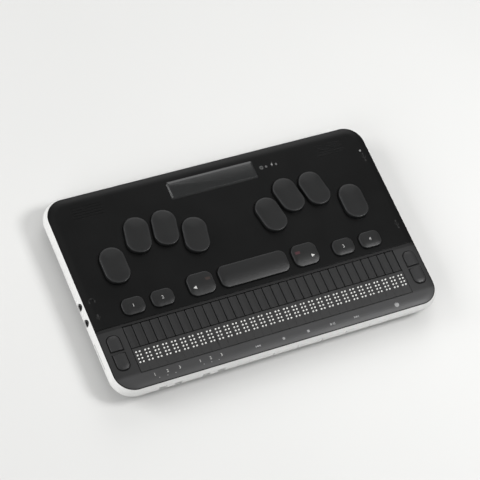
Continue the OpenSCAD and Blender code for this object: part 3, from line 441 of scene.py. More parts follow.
@dataclass(frozen=True)
class Board(Finish):
    """Circuit board with solder mask over copper tracks."""

    track: float = 1.6
    track_from: float = 0.42
    track_gain: float = 1.7
    track_share: float = 0.6
    mask: float = 4.0
    spread: float = 0.12
    depth: float = 0.02

    def wire(self, graph: Graph) -> None:
        """Wire crossing tracks under a slightly uneven mask.

        Args:
            graph: The material's graph.
        """
        track = graph.cells(self.track, distance="MANHATTAN").above(self.track_from)
        mask = graph.noise(self.mask)
        relief = track * self.track_share + mask * (1 - self.track_share)
        graph.shade(
            Base_Color=graph.mix(track, *self.gains(1.0, self.track_gain)),
            Roughness=self.rough + self.spread * (mask - 0.5),
            Normal=graph.bump(relief, self.depth),
        )


@dataclass(frozen=True)
class Ink(Finish):
    """Pad-printed ink, a little thin and speckled."""

    thin: float = 0.35
    speck: float = 0.22
    spread: float = 0.15
    depth: float = 0.003

    def wire(self, graph: Graph) -> None:
        """Wire specks where the ink is thin.

        Args:
            graph: The material's graph.
        """
        speck = graph.noise(self.speck)
        graph.shade(
            Base_Color=graph.mix(speck, *self.gains(1 - self.thin, 1.0)),
            Roughness=self.rough + self.spread * (speck - 0.5),
            Normal=graph.bump(speck, self.depth),
        )


@dataclass(frozen=True)
class LightPipe(Finish):
    """Clear plastic rods, of which those beyond a given place are lit."""

    lit_from: float = 80.0
    lit: Triple = (0.17, 0.175, 0.17)
    strength: float = 0.2
    haze: float = 0.4
    spread: float = 0.2

    def wire(self, graph: Graph) -> None:
        """Wire the lit rods by their place along the width.

        Args:
            graph: The material's graph.
        """
        on = graph.along("X").above(self.lit_from * MM)
        haze = graph.noise(self.haze)
        dull = graph.mix(haze, *self.gains(1 - self.spread, 1 + self.spread))
        graph.shade(
            Base_Color=graph.mix(on, dull, rgba(self.lit)),
            Roughness=self.rough + self.spread * (haze - 0.5),
            Emission_Color=graph.mix(on, rgba(self.lit, 0.0), rgba(self.lit)),
            Emission_Strength=self.strength,
        )


class Look(Enum):
    """Every finish of the object."""

    BASE = Moulded("base_plastic", (0.020, 0.020, 0.021), 0.55, 0.35, grain=0.5, depth=0.02)
    BAND = Painted("band_silver", (0.70, 0.70, 0.69), 0.38)
    DECK = Moulded("deck_black", (0.0014, 0.0015, 0.0015), 0.34, 0.18, grain=0.4, depth=0.006)
    # Bezel with painted sheen on the front strip, and darker on the rail at the back.
    BEZEL = Rested("bezel_grey", (0.0150, 0.0150, 0.0153), 0.43, 0.30, grain=0.35, depth=0.008)
    LENS = Lens("lens_grey", (0.0120, 0.0126, 0.0126), 0.16, 0.45)
    # Keys with a painted highlight on their rims.
    KEY = Touched("key_black", (0.0066, 0.0068, 0.0069), 0.46, 0.28, grain=0.3, depth=0.007)
    SCROLL = Touched("scroll_grey", (0.016, 0.016, 0.0164), 0.46, 0.32, grain=0.3, depth=0.007)
    CELL = Moulded("cell_plastic", (0.018, 0.018, 0.018), 0.52, 0.30, grain=0.3, depth=0.007)
    ROUTING = Moulded("routing_grey", (0.0056, 0.0056, 0.0058), 0.50, 0.35, grain=0.3, depth=0.007)
    PIN = Moulded("pin_white", (0.74, 0.74, 0.72), 0.40, 0.5, grain=0.5, depth=0.004, mottle=0.04)
    BUTTON = Painted("button_silver", (0.70, 0.70, 0.69), 0.40)
    JACK = Moulded("socket_black", (0.012, 0.012, 0.012), 0.42, 0.4)
    STEEL = Metal("socket_steel", (0.62, 0.62, 0.63), 0.32)
    SCREW = Metal("screw_steel", (0.40, 0.40, 0.41), 0.36, lines=(1.0, 1.0, 1.0))
    RUBBER = Moulded("foot_rubber", (0.016, 0.016, 0.016), 0.85, 0.25, grain=0.6, depth=0.03)
    CLOTH = Moulded("grille_cloth", (0.0035, 0.0035, 0.0035), 0.85, 0.15, grain=0.25, depth=0.05)
    # Grey plate in the side slot: painted shade.
    SLOT = Moulded("slot_grey", (0.30, 0.30, 0.30), 0.60, 0.3, grain=0.5, depth=0.01)
    # Dark seal for the joints, which is also laid round the scroll keys as painted shadow.
    SEAL = Moulded("edge_seal", (0.0025, 0.0025, 0.0025), 0.75, 0.15, grain=0.5, depth=0.01)
    PIPE = LightPipe("light_pipe", (0.10, 0.10, 0.10), 0.35)
    BOARD = Board("circuit_board", (0.012, 0.075, 0.035), 0.45)
    SWITCH = Metal("switch_metal", (0.55, 0.55, 0.55), 0.35)
    GLASS = Lens("lcd_glass", (0.05, 0.06, 0.05), 0.15)
    WRAP = Moulded("battery_wrap", (0.035, 0.05, 0.11), 0.35, grain=1.2, depth=0.02)
    SPEAKER = Moulded("speaker_black", (0.010, 0.010, 0.010), 0.8, 0.2, grain=0.6, depth=0.05)


class Print(Enum):
    """The inks of the marks."""

    WHITE = Ink("ink_white", (0.62, 0.62, 0.60), 0.55)
    PALE = Ink("ink_pale", (0.48, 0.48, 0.47), 0.55)
    GREY = Ink("ink_grey", (0.30, 0.30, 0.30), 0.60)
    DIM = Ink("ink_dim", (0.15, 0.15, 0.15), 0.60)
    FAINT = Ink("ink_faint", (0.010, 0.0103, 0.0103), 0.60, 0.35)
    ROSE = Ink("ink_rose", (0.062, 0.020, 0.025), 0.55, 0.25)
    RUST = Ink("ink_rust", (0.032, 0.021, 0.018), 0.55, 0.25)


# Meshes

def spot(x: float, y: float, z: float = 0.0) -> Vector:
    """Turn a place in millimetres into one in metres."""
    return Vector((x, y, z)) * MM


def middle_of(low: Vector, high: Vector) -> Vector:
    """Give the middle of a box in plan, at height 0."""
    return Vector(((low.x + high.x) / 2, (low.y + high.y) / 2, 0.0))


def mesh_object(name: str, mesh: bpy.types.Mesh) -> bpy.types.Object:
    """Put a mesh in the scene as an object at the origin.

    Args:
        name: The object's name.
        mesh: Its mesh.

    Returns:
        The object.
    """
    obj = bpy.data.objects.new(name, mesh)
    bpy.context.scene.collection.objects.link(obj)
    return obj


def drop(obj: bpy.types.Object) -> None:
    """Remove a helper object and its mesh.

    Args:
        obj: The object.
    """
    mesh = obj.data
    bpy.data.objects.remove(obj)
    bpy.data.meshes.remove(mesh)


def evaluated_mesh(obj: bpy.types.Object) -> bpy.types.Mesh:
    """Give a plain mesh of what an object's modifiers make of it.

    Args:
        obj: The object.

    Returns:
        A new mesh.
    """
    bpy.context.view_layer.update()
    graph = bpy.context.evaluated_depsgraph_get()
    return bpy.data.meshes.new_from_object(obj.evaluated_get(graph))


def smooth(mesh: bpy.types.Mesh, sharp: float) -> bpy.types.Mesh:
    """Shade a mesh smooth, apart from its sharp edges.

    Args:
        mesh: The mesh.
        sharp: The angle above which an edge is sharp, in degrees.

    Returns:
        The same mesh.
    """
    mesh.polygons.foreach_set("use_smooth", [True] * len(mesh.polygons))
    mesh.set_sharp_from_angle(angle=math.radians(sharp))
    return mesh


def to_mesh(bm: bmesh.types.BMesh, name: str, sharp: float = 40.0) -> bpy.types.Mesh:
    """Turn a bmesh into a mesh that is shaded smooth, apart from its sharp edges.

    Args:
        bm: The bmesh, which is freed.
        name: The mesh's name.
        sharp: The angle above which an edge is sharp, in degrees.

    Returns:
        The mesh.
    """
    mesh = bpy.data.meshes.new(name)
    bm.to_mesh(mesh)
    bm.free()
    return smooth(mesh, sharp)


def face_out(bm: bmesh.types.BMesh) -> bmesh.types.BMesh:
    """Turn all the faces of a bmesh outwards."""
    bmesh.ops.recalc_face_normals(bm, faces=bm.faces)
    return bm


def add_piece(
    name: str, mesh: bpy.types.Mesh, look: Union[Look, Print], body: str,
    nodes: Iterable[str] = (), slot: Optional[str] = None,
) -> None:
    """Dress a mesh and hang it on its body.

    Args:
        name: The piece's name.
        mesh: Its mesh.
        look: Its finish.
        body: The body that it rides on.
        nodes: The CAD nodes that it stands for.
        slot: The record's material slot, or None for the finish's own; not used.
    """
    mesh.materials.clear()
    mesh.materials.append(look.value.material())
    piece = mesh_object(name, mesh)
    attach(piece, body)
    if nodes:
        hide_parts(*nodes)
    slot or look.value.slot
    LOG.info("%s: %d faces on %s", name, len(mesh.polygons), body)


def bow(x: float, y: float, radius: float, start: float, end: float, steps: int) -> list[Point]:
    """Give points on part of a circle, from one angle in degrees to another."""
    turns = [math.radians(start + (end - start) * k / steps) for k in range(steps + 1)]
    return [(x + radius * math.cos(t), y + radius * math.sin(t)) for t in turns]


def rounded_outline(width: float, depth: float, radius: float, arc: int, side: int) -> list[Point]:
    """Give the points of a rounded rectangle, anticlockwise.

    Args:
        width: Size along X.
        depth: Size along Y.
        radius: Radius of the corners.
        arc: Points in each corner.
        side: Points between the corners on each side.

    Returns:
        Four times (arc + side) points.
    """
    half_x, half_y = width / 2 - radius, depth / 2 - radius
    middles = ((half_x, -half_y), (half_x, half_y), (-half_x, half_y), (-half_x, -half_y))
    corners = [bow(x, y, radius, 90 * k - 90, 90 * k, arc - 1) for k, (x, y) in enumerate(middles)]
    points: list[Point] = []
    for corner, after in zip(corners, corners[1:] + corners[:1]):
        points += corner
        (x, y), (to_x, to_y) = corner[-1], after[0]
        shares = [k / (side + 1) for k in range(1, side + 1)]
        points += [(x + (to_x - x) * share, y + (to_y - y) * share) for share in shares]
    return points


def rounded_inset(x: float, y: float, width: float, depth: float, radius: float) -> float:
    """Give how far a place lies inside a rounded rectangle about the origin.

    Args:
        x: Place along X.
        y: Place along Y.
        width: Size along X.
        depth: Size along Y.
        radius: Radius of the corners.

    Returns:
        The distance from the outline, negative outside it.
    """
    over_x = abs(x) - (width / 2 - radius)
    over_y = abs(y) - (depth / 2 - radius)
    outside = math.hypot(max(over_x, 0.0), max(over_y, 0.0))
    return radius - outside - min(max(over_x, over_y), 0.0)


def bridge(bm: bmesh.types.BMesh, low: Sequence, high: Sequence) -> None:
    """Join two loops of as many vertices by a band of faces."""
    for i in range(len(low)):
        bm.faces.new((low[i - 1], low[i], high[i], high[i - 1]))


def loft(rings: Sequence[Sequence[Vector]]) -> bmesh.types.BMesh:
    """Join rings into a skin that is closed at both ends.

    Args:
        rings: Rings of as many points each, from bottom to top.

    Returns:
        The skin.
    """
    bm = bmesh.new()
    rows = [[bm.verts.new(point) for point in ring] for ring in rings]
    for low, high in zip(rows, rows[1:]):
        bridge(bm, low, high)
    bm.faces.new(list(reversed(rows[0])))
    bm.faces.new(rows[-1])
    return bm


def lathe(profile: Sequence[Point], steps: int) -> bmesh.types.BMesh:
    """Turn a profile of radius and height into a closed round skin.

    Args:
        profile: Pairs of radius and height, from one end to the other.
        steps: Points round the axis.

    Returns:
        The skin.
    """
    return loft([
        [spot(x, y, height) for x, y in bow(0.0, 0.0, radius, 0, 360, steps)[:-1]]
        for radius, height in profile
    ])


def hoop(rows: Sequence[Sequence[Vector]]) -> bmesh.types.BMesh:
    """Join loops, the last to the first again, into a closed ring.

    Args:
        rows: Loops of as many points each.

    Returns:
        The ring.
    """
    bm = bmesh.new()
    loops = [[bm.verts.new(point) for point in row] for row in rows]
    for loop, after in zip(loops, loops[1:] + loops[:1]):
        bridge(bm, loop, after)
    return face_out(bm)


def islands(node: str) -> list[tuple[Vector, Vector]]:
    """Find the boxes of a node's separate solids.

    Args:
        node: The CAD node.

    Returns:
        The lowest and highest corner of each solid, in metres, by X and then Y.
    """
    bm = bmesh.new()
    bm.from_mesh(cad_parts[node].data)
    bmesh.ops.remove_doubles(bm, verts=bm.verts, dist=WELD)
    boxes = []
    seen: set[bmesh.types.BMVert] = set()
    for start in bm.verts:
        if start in seen:
            continue
        seen.add(start)
        heap, reach = [start], [start]
        while heap:
            fresh = {v for edge in heap.pop().link_edges for v in edge.verts} - seen
            seen |= fresh
            heap.extend(fresh)
            reach.extend(fresh)
        low, high = (Vector([pick(v.co[k] for v in reach) for k in range(3)]) for pick in (min, max))
        boxes.append((low, high))
    bm.free()
    return sorted(boxes, key=lambda box: (round(box[0].x, 5), round(box[0].y, 5)))


def beyond(axis: str, limit: float, way: int = 1) -> Test:
    """Give a test of whether a place in millimetres lies beyond a limit along an axis.

    Args:
        axis: The axis: x, y or z.
        limit: The limit.
        way: 1 for above it, and -1 for below it.

    Returns:
        The test.
    """
    return lambda place: way * (getattr(place, axis) - limit) > 0


@dataclass
class Skin:
    """A CAD node's own form, merged, with the hard edges that show made softer."""

    node: str
    look: Look
    soften: float
    shows: Test
    body: str = CASE
    hard: float = 35.0
    segments: int = 2
    merge: float = 0.002
    flat: float = 0.4
    folded: float = 150.0
    crown_depth: float = 0.02

    def build(self) -> None:
        """Make the piece and hide the node that it stands for."""
        softened = smooth(self._changed(
            self._merged(), "BEVEL", limit_method="WEIGHT", width=self.soften * MM,
            segments=self.segments, use_clamp_overlap=False,
        ), self.hard)
        finished = self._changed(softened, "WEIGHTED_NORMAL", keep_sharp=True)
        add_piece(f"{self.node}_skin", finished, self.look, self.body, [self.node])

    def _changed(self, mesh: bpy.types.Mesh, kind: str, **settings: object) -> bpy.types.Mesh:
        """Give what a modifier makes of a mesh.

        Args:
            mesh: The mesh, which is removed.
            kind: The modifier's type.
            settings: Its settings by name.

        Returns:
            A new mesh.
        """
        helper = mesh_object(f"{self.node}_helper", mesh)
        modifier = helper.modifiers.new(kind.lower(), kind)
        for key, value in settings.items():
            setattr(modifier, key, value)
        changed = evaluated_mesh(helper)
        drop(helper)
        return changed

    def _merged(self) -> bpy.types.Mesh:
        """Copy the node's mesh, merge it and weigh the edges to be softened.

        Returns:
            A new mesh.
        """
        bm = bmesh.new()
        bm.from_mesh(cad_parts[self.node].data)
        bmesh.ops.remove_doubles(bm, verts=bm.verts, dist=self.merge * MM)
        self._unfold(bm)
        bmesh.ops.dissolve_limit(
            bm, angle_limit=math.radians(self.flat), verts=bm.verts, edges=bm.edges
        )
        weight = bm.edges.layers.float.new("bevel_weight_edge")
        for edge in self._bent(bm, self.hard):
            if self.shows((edge.verts[0].co + edge.verts[1].co) / (2 * MM)):
                edge[weight] = 1.0
        mesh = bpy.data.meshes.new(f"{self.node}_merged")
        bm.to_mesh(mesh)
        bm.free()
        return mesh

    def _bent(self, bm: bmesh.types.BMesh, angle: float) -> list[bmesh.types.BMEdge]:
        """Give the edges at which two faces turn by an angle in degrees or more."""
        limit = math.radians(angle)
        return [edge for edge in bm.edges if edge.is_manifold and edge.calc_face_angle() >= limit]

    def _unfold(self, bm: bmesh.types.BMesh) -> None:
        """Make one face of a flat crown with slivers folded back on it, which would shade as a crease.

        Args:
            bm: The merged copy of the node.
        """
        if self._bent(bm, self.folded):
            level = max(vert.co.z for vert in bm.verts) - self.crown_depth * MM
            flat = [face for face in bm.faces if all(vert.co.z > level for vert in face.verts)]
            bmesh.ops.dissolve_faces(bm, faces=flat, use_verts=True)


class RepeatTree:
    """A Geometry Nodes tree that sets copies of one shape in a row or on given spots."""

    def __init__(self, name: str, row: bool) -> None:
        """Build the tree.

        Args:
            name: The tree's name.
            row: Whether the copies stand in an even row, or on the points that come in.
        """
        self.tree = bpy.data.node_groups.new(name, "GeometryNodeTree")
        self.inputs: dict[str, str] = {}
        self._socket("Geometry", "Geometry")
        self.tree.interface.new_socket("Geometry", in_out="OUTPUT", socket_type="NodeSocketGeometry")
        if row:
            for key, kind in (("Count", "Int"), ("Start", "Vector"), ("Pitch", "Vector")):
                self._socket(key, kind)
        self._socket("Shape", "Object")
        self._socket("Finish", "Material")
        source = self._node("NodeGroupInput")
        shape = self._node("GeometryNodeObjectInfo", transform_space="ORIGINAL")
        copies = self._node("GeometryNodeInstanceOnPoints")
        real = self._node("GeometryNodeRealizeInstances")
        dress = self._node("GeometryNodeSetMaterial")
        result = self._node("NodeGroupOutput")
        if row:
            line = self._node("GeometryNodeMeshLine", mode="OFFSET")
            self._link(source, "Count", line, "Count")
            self._link(source, "Start", line, "Start Location")
            self._link(source, "Pitch", line, "Offset")
            self._link(line, "Mesh", copies, "Points")
        else:
            self._link(source, "Geometry", copies, "Points")
        self._link(source, "Shape", shape, "Object")
        self._link(shape, "Geometry", copies, "Instance")
        self._link(copies, "Instances", real, "Geometry")
        self._link(real, "Geometry", dress, "Geometry")
        self._link(source, "Finish", dress, "Material")
        self._link(dress, "Geometry", result, "Geometry")

    def _socket(self, name: str, kind: str) -> None:
        """Add a named input to the tree, and keep its identifier."""
        item = self.tree.interface.new_socket(name, in_out="INPUT", socket_type=f"NodeSocket{kind}")
        self.inputs[name] = item.identifier

    def _node(self, kind: str, **settings: str) -> bpy.types.Node:
        """Add a node with its settings.

        Args:
            kind: The node's type.
            settings: Its settings by name.

        Returns:
            The node.
        """
        node = self.tree.nodes.new(kind)
        for key, value in settings.items():
            setattr(node, key, value)
        return node

    def _link(self, first: bpy.types.Node, out: str, second: bpy.types.Node, into: str) -> None:
        """Link an output of one node to an input of another."""
        self.tree.links.new(first.outputs[out], second.inputs[into])

    def grow(
        self, shape: bpy.types.Mesh, look: Look, places: Sequence[Vector] = (), **values: object
    ) -> bpy.types.Mesh:
        """Run the tree.

        Args:
            shape: The mesh to be copied, which is removed.
            look: The copies' finish.
            places: The points to set them on, in metres, which a row doesn't need.
            values: Values of the tree's other inputs by name.

        Returns:
            A plain mesh with every copy in it.
        """
        base = bpy.data.meshes.new("places")
        base.from_pydata([tuple(place) for place in places], [], [])
        host, copied = mesh_object("host", base), mesh_object(shape.name, shape)
        modifier = host.modifiers.new("repeat", "NODES")
        modifier.node_group = self.tree
        values.update(Shape=copied, Finish=look.value.material())
        for name, value in values.items():
            modifier[self.inputs[name]] = value
        mesh = evaluated_mesh(host)
        host.modifiers.remove(modifier)
        drop(host)
        drop(copied)
        return mesh


# The case

@dataclass
class Case:
    """The shells, with the deck's outline and the roll at its edge."""

    edge_x: float = 120.9
    edge_y: float = 71.4
    corner: float = 13.65
    deck_z: float = 18.0
    roll_width: float = 6.0
    roll_radius: float = 20.45
    deck_soften: float = 0.14
    deck_edges: float = 16.8
    bezel_soften: float = 0.2
    base_soften: float = 0.2
    base_edges: float = 2.2
    hatch_soften: float = 0.25
    hatch_edges: float = 1.1
    band_soften: float = 0.15
    band_levels: Point = (9.0, 16.4)
    band_face: Point = (121.4, 71.9)
    band_top: float = 16.8
    seal_width: float = 0.5
    seal_out: float = 0.03
    seal_lift: float = 0.02
    seam_y: float = -25.75
    seam_width: float = 0.29
    seam_low: float = 16.85
    seam_depth: float = 0.35
    seam_steps: int = 60
    speaker_x: float = 93.0
    speaker_y: float = 58.3
    grille_slots: int = 5
    grille_pitch: float = 2.0
    grille_size: Point = (22.0, 0.6)
    cloth_levels: Point = (16.6, 17.82)
    side_slot_depths: Point = (-122.49, -122.78)
    side_slot_middle: Point = (-41.4, 12.5)
    side_slot_size: Point = (18.4, 0.74)
    hair: float = 0.01

    def height(self, x: float, y: float) -> float:
        """Give the deck's height at a place.

        Args:
            x: Place along X.
            y: Place along Y.

        Returns:
            The height in millimetres.
        """
        inset = rounded_inset(x, y, 2 * self.edge_x, 2 * self.edge_y, self.corner)
        past = min(max(self.roll_width - inset, 0.0), self.roll_width)
        return self.deck_z - (self.roll_radius - math.sqrt(self.roll_radius ** 2 - past ** 2))

    def build(self) -> None:
        """Make the five shells and the trim between them."""
        on_deck = beyond("z", self.deck_edges)
        Skin("top_cover", Look.DECK, self.deck_soften, on_deck).build()
        Skin("front_bezel", Look.BEZEL, self.bezel_soften, on_deck).build()
        Skin("side_band", Look.BAND, self.band_soften, self._on_band).build()
        Skin("bottom_case", Look.BASE, self.base_soften, beyond("z", self.base_edges, -1)).build()
        Skin("battery_cover", Look.BASE, self.hatch_soften, beyond("z", self.hatch_edges, -1)).build()
        self._edge_seal()
        self._seam_seal()
        self._grille_cloth()
        self._side_slot()

    def _on_band(self, middle: Vector) -> bool:
        """Tell whether a place lies on the band's outer face.

        Args:
            middle: The place in millimetres.

        Returns:
            True on the face.
        """
        low, high = self.band_levels
        outside = abs(middle.x) > self.band_face[0] or abs(middle.y) > self.band_face[1]
        return outside and low < middle.z < high

    def _edge_seal(self) -> None:
        """Lay the thin seal that runs round the cover's edge, over the band."""
        outside, inside = -self.seal_out, self.seal_width
        rows = []
        for inset, raised in ((outside, False), (outside, True), (inside, True), (inside, False)):
            width, depth = 2 * (self.edge_x - inset), 2 * (self.edge_y - inset)
            outline = rounded_outline(width, depth, self.corner - inset, arc=20, side=30)
            rows.append([
                spot(x, y, self.height(x, y) + self.seal_lift if raised else self.band_top)
                for x, y in outline
            ])
        add_piece("edge_seal", to_mesh(hoop(rows), "edge_seal"), Look.SEAL, CASE, slot="deck_black")

    def _seam_seal(self) -> None:
        """Lay the strip that fills the seam between the cover and the bezel, below the deck."""
        front, back = self.seam_y - self.seam_width / 2, self.seam_y + self.seam_width / 2
        low = self.seam_low
        rings = []
        for k in range(self.seam_steps + 1):
            x = (2 * k / self.seam_steps - 1) * (self.edge_x - self.seal_width)
            top = self.height(x, self.seam_y) - self.seam_depth
            rings.append([spot(x, *p) for p in ((front, low), (back, low), (back, top), (front, top))])
        mesh = to_mesh(face_out(loft(rings)), "seam_seal")
        add_piece("seam_seal", mesh, Look.SEAL, CASE, slot="deck_black")

    def _grille_cloth(self) -> None:
        """Grow the cloth that fills the grille's slots to just below the deck."""
        length, width = self.grille_size
        outline = rounded_outline(length, width, width / 2 - self.hair, arc=5, side=1)
        rings = [[spot(x, y, z) for x, y in outline] for z in self.cloth_levels]
        middle = (self.grille_slots - 1) / 2
        places = [
            spot(side * self.speaker_x, self.speaker_y + (k - middle) * self.grille_pitch)
            for side in (-1, 1) for k in range(self.grille_slots)
        ]
        tree = RepeatTree("cloth_on_spots", False)
        mesh = tree.grow(to_mesh(loft(rings), "cloth_shape"), Look.CLOTH, places)
        add_piece("speaker_cloth", mesh, Look.CLOTH, CASE, slot="speaker_black")

    def _side_slot(self) -> None:
        """Lay a grey plate in the shallow slot in the left side: painted shade of the slot's depth."""
        length, width = self.side_slot_size
        outline = rounded_outline(length, width, width / 2 - self.hair, arc=6, side=2)
        y, z = self.side_slot_middle
        rings = [[spot(x, y + py, z + pz) for py, pz in outline] for x in self.side_slot_depths]
        mesh = to_mesh(face_out(loft(rings)), "side_slot_floor")
        add_piece("side_slot_floor", mesh, Look.SLOT, CASE, slot="band_silver")


# The keyboard

@dataclass
class KeyCap:
    """A crowned key with a soft rim, a flange under the deck and a foot over its switch."""

    node: str
    x: float
    y: float
    width: float
    depth: float
    corner: float
    top: float
    crown: float
    foot_z: float
    lean: float = 0.0
    rim: float = 0.45
    flange: float = 0.7
    flange_low: float = 14.9
    flange_high: float = 15.9
    foot_radius: float = 2.0
    eases: Point = (0.0, 0.0)
    slope_way: int = -1
    slope_run: float = 0.0
    slope_radius: float = 39.0
    blend: float = 3.0
    arc: int = 14
    side: int = 6
    fillet_steps: int = 5
    crown_steps: int = 10
    middle_steps: int = 4
    middle_half: float = 0.15
    least_corner: float = 0.12
    # These shape the rim attribute, which lightens the colour as a painted highlight and makes the gloss
    # smoother.
    rim_foot_wear: float = 0.4
    wear_start: float = 0.5
    wear_fade: float = 3.0

    @property
    def crown_radius(self) -> float:
        """Radius of the crown from the rim to the middle."""
        run = self.corner - self.rim
        return (run * run + self.crown * self.crown) / (2 * self.crown)

    def level(self, y: float, inset: float) -> float:
        """Give the top's height.

        Args:
            y: Place along the depth, from the key's middle.
            inset: Distance from the outline.

        Returns:
            The height, which falls towards the outline and along the long slope at one end.
        """
        run = self.corner - min(max(inset, self.rim), self.corner)
        share = min(2 * abs(y) / self.depth, 1.0)
        side = self.crown_radius - math.sqrt(self.crown_radius ** 2 - run ** 2)
        side *= 1 - self.eases[0 if y < 0 else 1] * share * share * (3 - 2 * share)
        reach = max(self.slope_run - max(self.depth / 2 - self.slope_way * y, self.rim), 0.0)
        slope = reach * reach / (2 * self.slope_radius)
        return self.top - (side ** self.blend + slope ** self.blend) ** (1 / self.blend)

    def height(self, x: float, y: float) -> float:
        """Give the top's height at a place on the object."""
        local = Matrix.Rotation(math.radians(-self.lean), 2) @ Vector((x - self.x, y - self.y))
        return self.level(local.y, rounded_inset(*local, self.width, self.depth, self.corner))

    def _ring(self, inset: float, z: Optional[float] = None, sunk: float = 0.0) -> list[Vector]:
        """Give a ring of the key's outline.

        Args:
            inset: Distance from the outline.
            z: Height of the ring, or None for the top's own.
            sunk: Depth below that height.

        Returns:
            The ring's points.
        """
        corner = max(self.corner - inset, self.least_corner)
        outline = rounded_outline(
            self.width - 2 * inset, self.depth - 2 * inset, corner, self.arc, self.side
        )
        turn = Matrix.Rotation(math.radians(self.lean), 3, "Z")
        middle = Vector((self.x, self.y, -sunk))
        levels = [self.level(py, inset) if z is None else z for _, py in outline]
        return [(turn @ Vector((*place, up)) + middle) * MM for place, up in zip(outline, levels)]

    def _foot_ring(self, z: float) -> list[Vector]:
        """Give a ring of the foot, with as many points as the outline.

        Args:
            z: Height of the ring.

        Returns:
            The ring's points.
        """
        start = self.lean - 45
        count = 4 * (self.arc + self.side)
        circle = bow(self.x, self.y, self.foot_radius, start, start + 360, count)
        return [spot(x, y, z) for x, y in circle[:-1]]

    def build(self, look: Look) -> None:
        """Make the key on its own body.

        Args:
            look: The key's finish.
        """
        rings = [self._foot_ring(self.foot_z), self._foot_ring(self.flange_low)]
        rings += [self._ring(-self.flange, z) for z in (self.flange_low, self.flange_high)]
        rings.append(self._ring(0.0, self.flange_high))
        # The rim attribute: a painted highlight on the fillet that fades over the crown, and it also
        # polishes the gloss.
        rim_light_and_polish = [0.0] * len(rings)
        for k in range(self.fillet_steps + 1):
            turn = math.pi / 2 * k / self.fillet_steps
            inset = self.rim * (1 - math.cos(turn))
            rings.append(self._ring(inset, sunk=self.rim * (1 - math.sin(turn))))
            rim_light_and_polish.append(1.0 if k else self.rim_foot_wear)
        last = self.corner - self.least_corner
        for k in range(1, self.crown_steps + 1):
            share = k / self.crown_steps
            rings.append(self._ring(self.rim + (last - self.rim) * share))
            rim_light_and_polish.append(max(0.0, self.wear_start - self.wear_fade * share))
        if self.slope_run:
            end = min(self.width, self.depth) / 2 - self.middle_half
            for k in range(1, self.middle_steps + 1):
                rings.append(self._ring(last + (end - last) * k / self.middle_steps))
                rim_light_and_polish.append(0.0)
        mesh = to_mesh(loft(rings), f"{self.node}_cap", sharp=60.0)
        layer = mesh.attributes.new("rim", "FLOAT", "POINT")
        layer.data.foreach_set("value", [value for value in rim_light_and_polish for _ in rings[0]])
        add_piece(f"{self.node}_cap", mesh, look, self.node, [self.node])


@dataclass
class Keyboard:
    """Eight dot keys, four function keys, two arrow keys and the space bar."""

    dot_size: Triple = (17.4, 26.5, 8.3)
    dot_places: tuple[Point, ...] = ((28.7, 20.875), (47.2, 31.575), (67.6, 31.475), (91.0, 14.675))
    dot_lean: float = 11.0
    dot_top: float = 21.0
    dot_crown: float = 0.7
    dot_foot: float = 14.7
    dot_rim: float = 0.55
    dot_eases: Point = (0.8, 0.5)
    dot_run: float = 10.6
    dot_radius: float = 76.0
    low_crown: float = 0.5
    low_foot: float = 14.3
    low_eases: Point = (0.0, 0.65)
    thumb_run: float = 9.6
    function_size: Triple = (16.0, 11.7, 4.5)
    function_places: tuple[float, ...] = (-89.9, -68.7, 68.7, 89.9)
    function_y: float = -15.95
    function_top: float = 20.0
    arrow_size: Triple = (18.8, 15.8, 5.0)
    arrow_x: float = 39.6
    arrow_top: float = 20.3
    space_size: Triple = (51.4, 15.8, 5.0)
    space_top: float = 20.4
    thumb_y: float = -13.9
    caps: dict[str, KeyCap] = field(default_factory=dict)

    def build(self) -> None:
        """Make every key."""
        for cap in (*self._dot_keys(), *self._low_keys()):
            cap.build(Look.KEY)
            self.caps[cap.node] = cap

    def _dot_keys(self) -> Iterator[KeyCap]:
        """Set out the eight dot keys: 1, 2, 3 and 7 lie left, and 4, 5, 6 and 8 right.

        Returns:
            The keys, one after the other.
        """
        for i in range(1, 9):
            side = -1 if i <= 3 or i == 7 else 1
            rank = 3 if i > 6 else (i - 1) % 3
            x, y = self.dot_places[rank]
            lean = side * self.dot_lean if rank < 3 else 0.0
            yield KeyCap(
                f"dot_key_{i}", side * x, y, *self.dot_size,
                self.dot_top, self.dot_crown, self.dot_foot, lean, self.dot_rim,
                eases=self.dot_eases, slope_way=1, slope_run=self.dot_run, slope_radius=self.dot_radius,
            )

    def _low_keys(self) -> Iterator[KeyCap]:
        """Set out the function keys, the arrow keys and the space bar.

        Returns:
            The keys, one after the other.
        """
        places = [
            (f"function_key_{i}", x, self.function_y, self.function_size, self.function_top)
            for i, x in enumerate(self.function_places, 1)
        ]
        places += [
            ("left_arrow_key", -self.arrow_x, self.thumb_y, self.arrow_size, self.arrow_top),
            ("right_arrow_key", self.arrow_x, self.thumb_y, self.arrow_size, self.arrow_top),
            ("space_bar", 0.0, self.thumb_y, self.space_size, self.space_top),
        ]
        for node, x, y, size, top in places:
            run = self.thumb_run if y == self.thumb_y else 0.0
            yield KeyCap(
                node, x, y, *size, top, self.low_crown, self.low_foot,
                eases=self.low_eases, slope_run=run,
            )


# The braille line

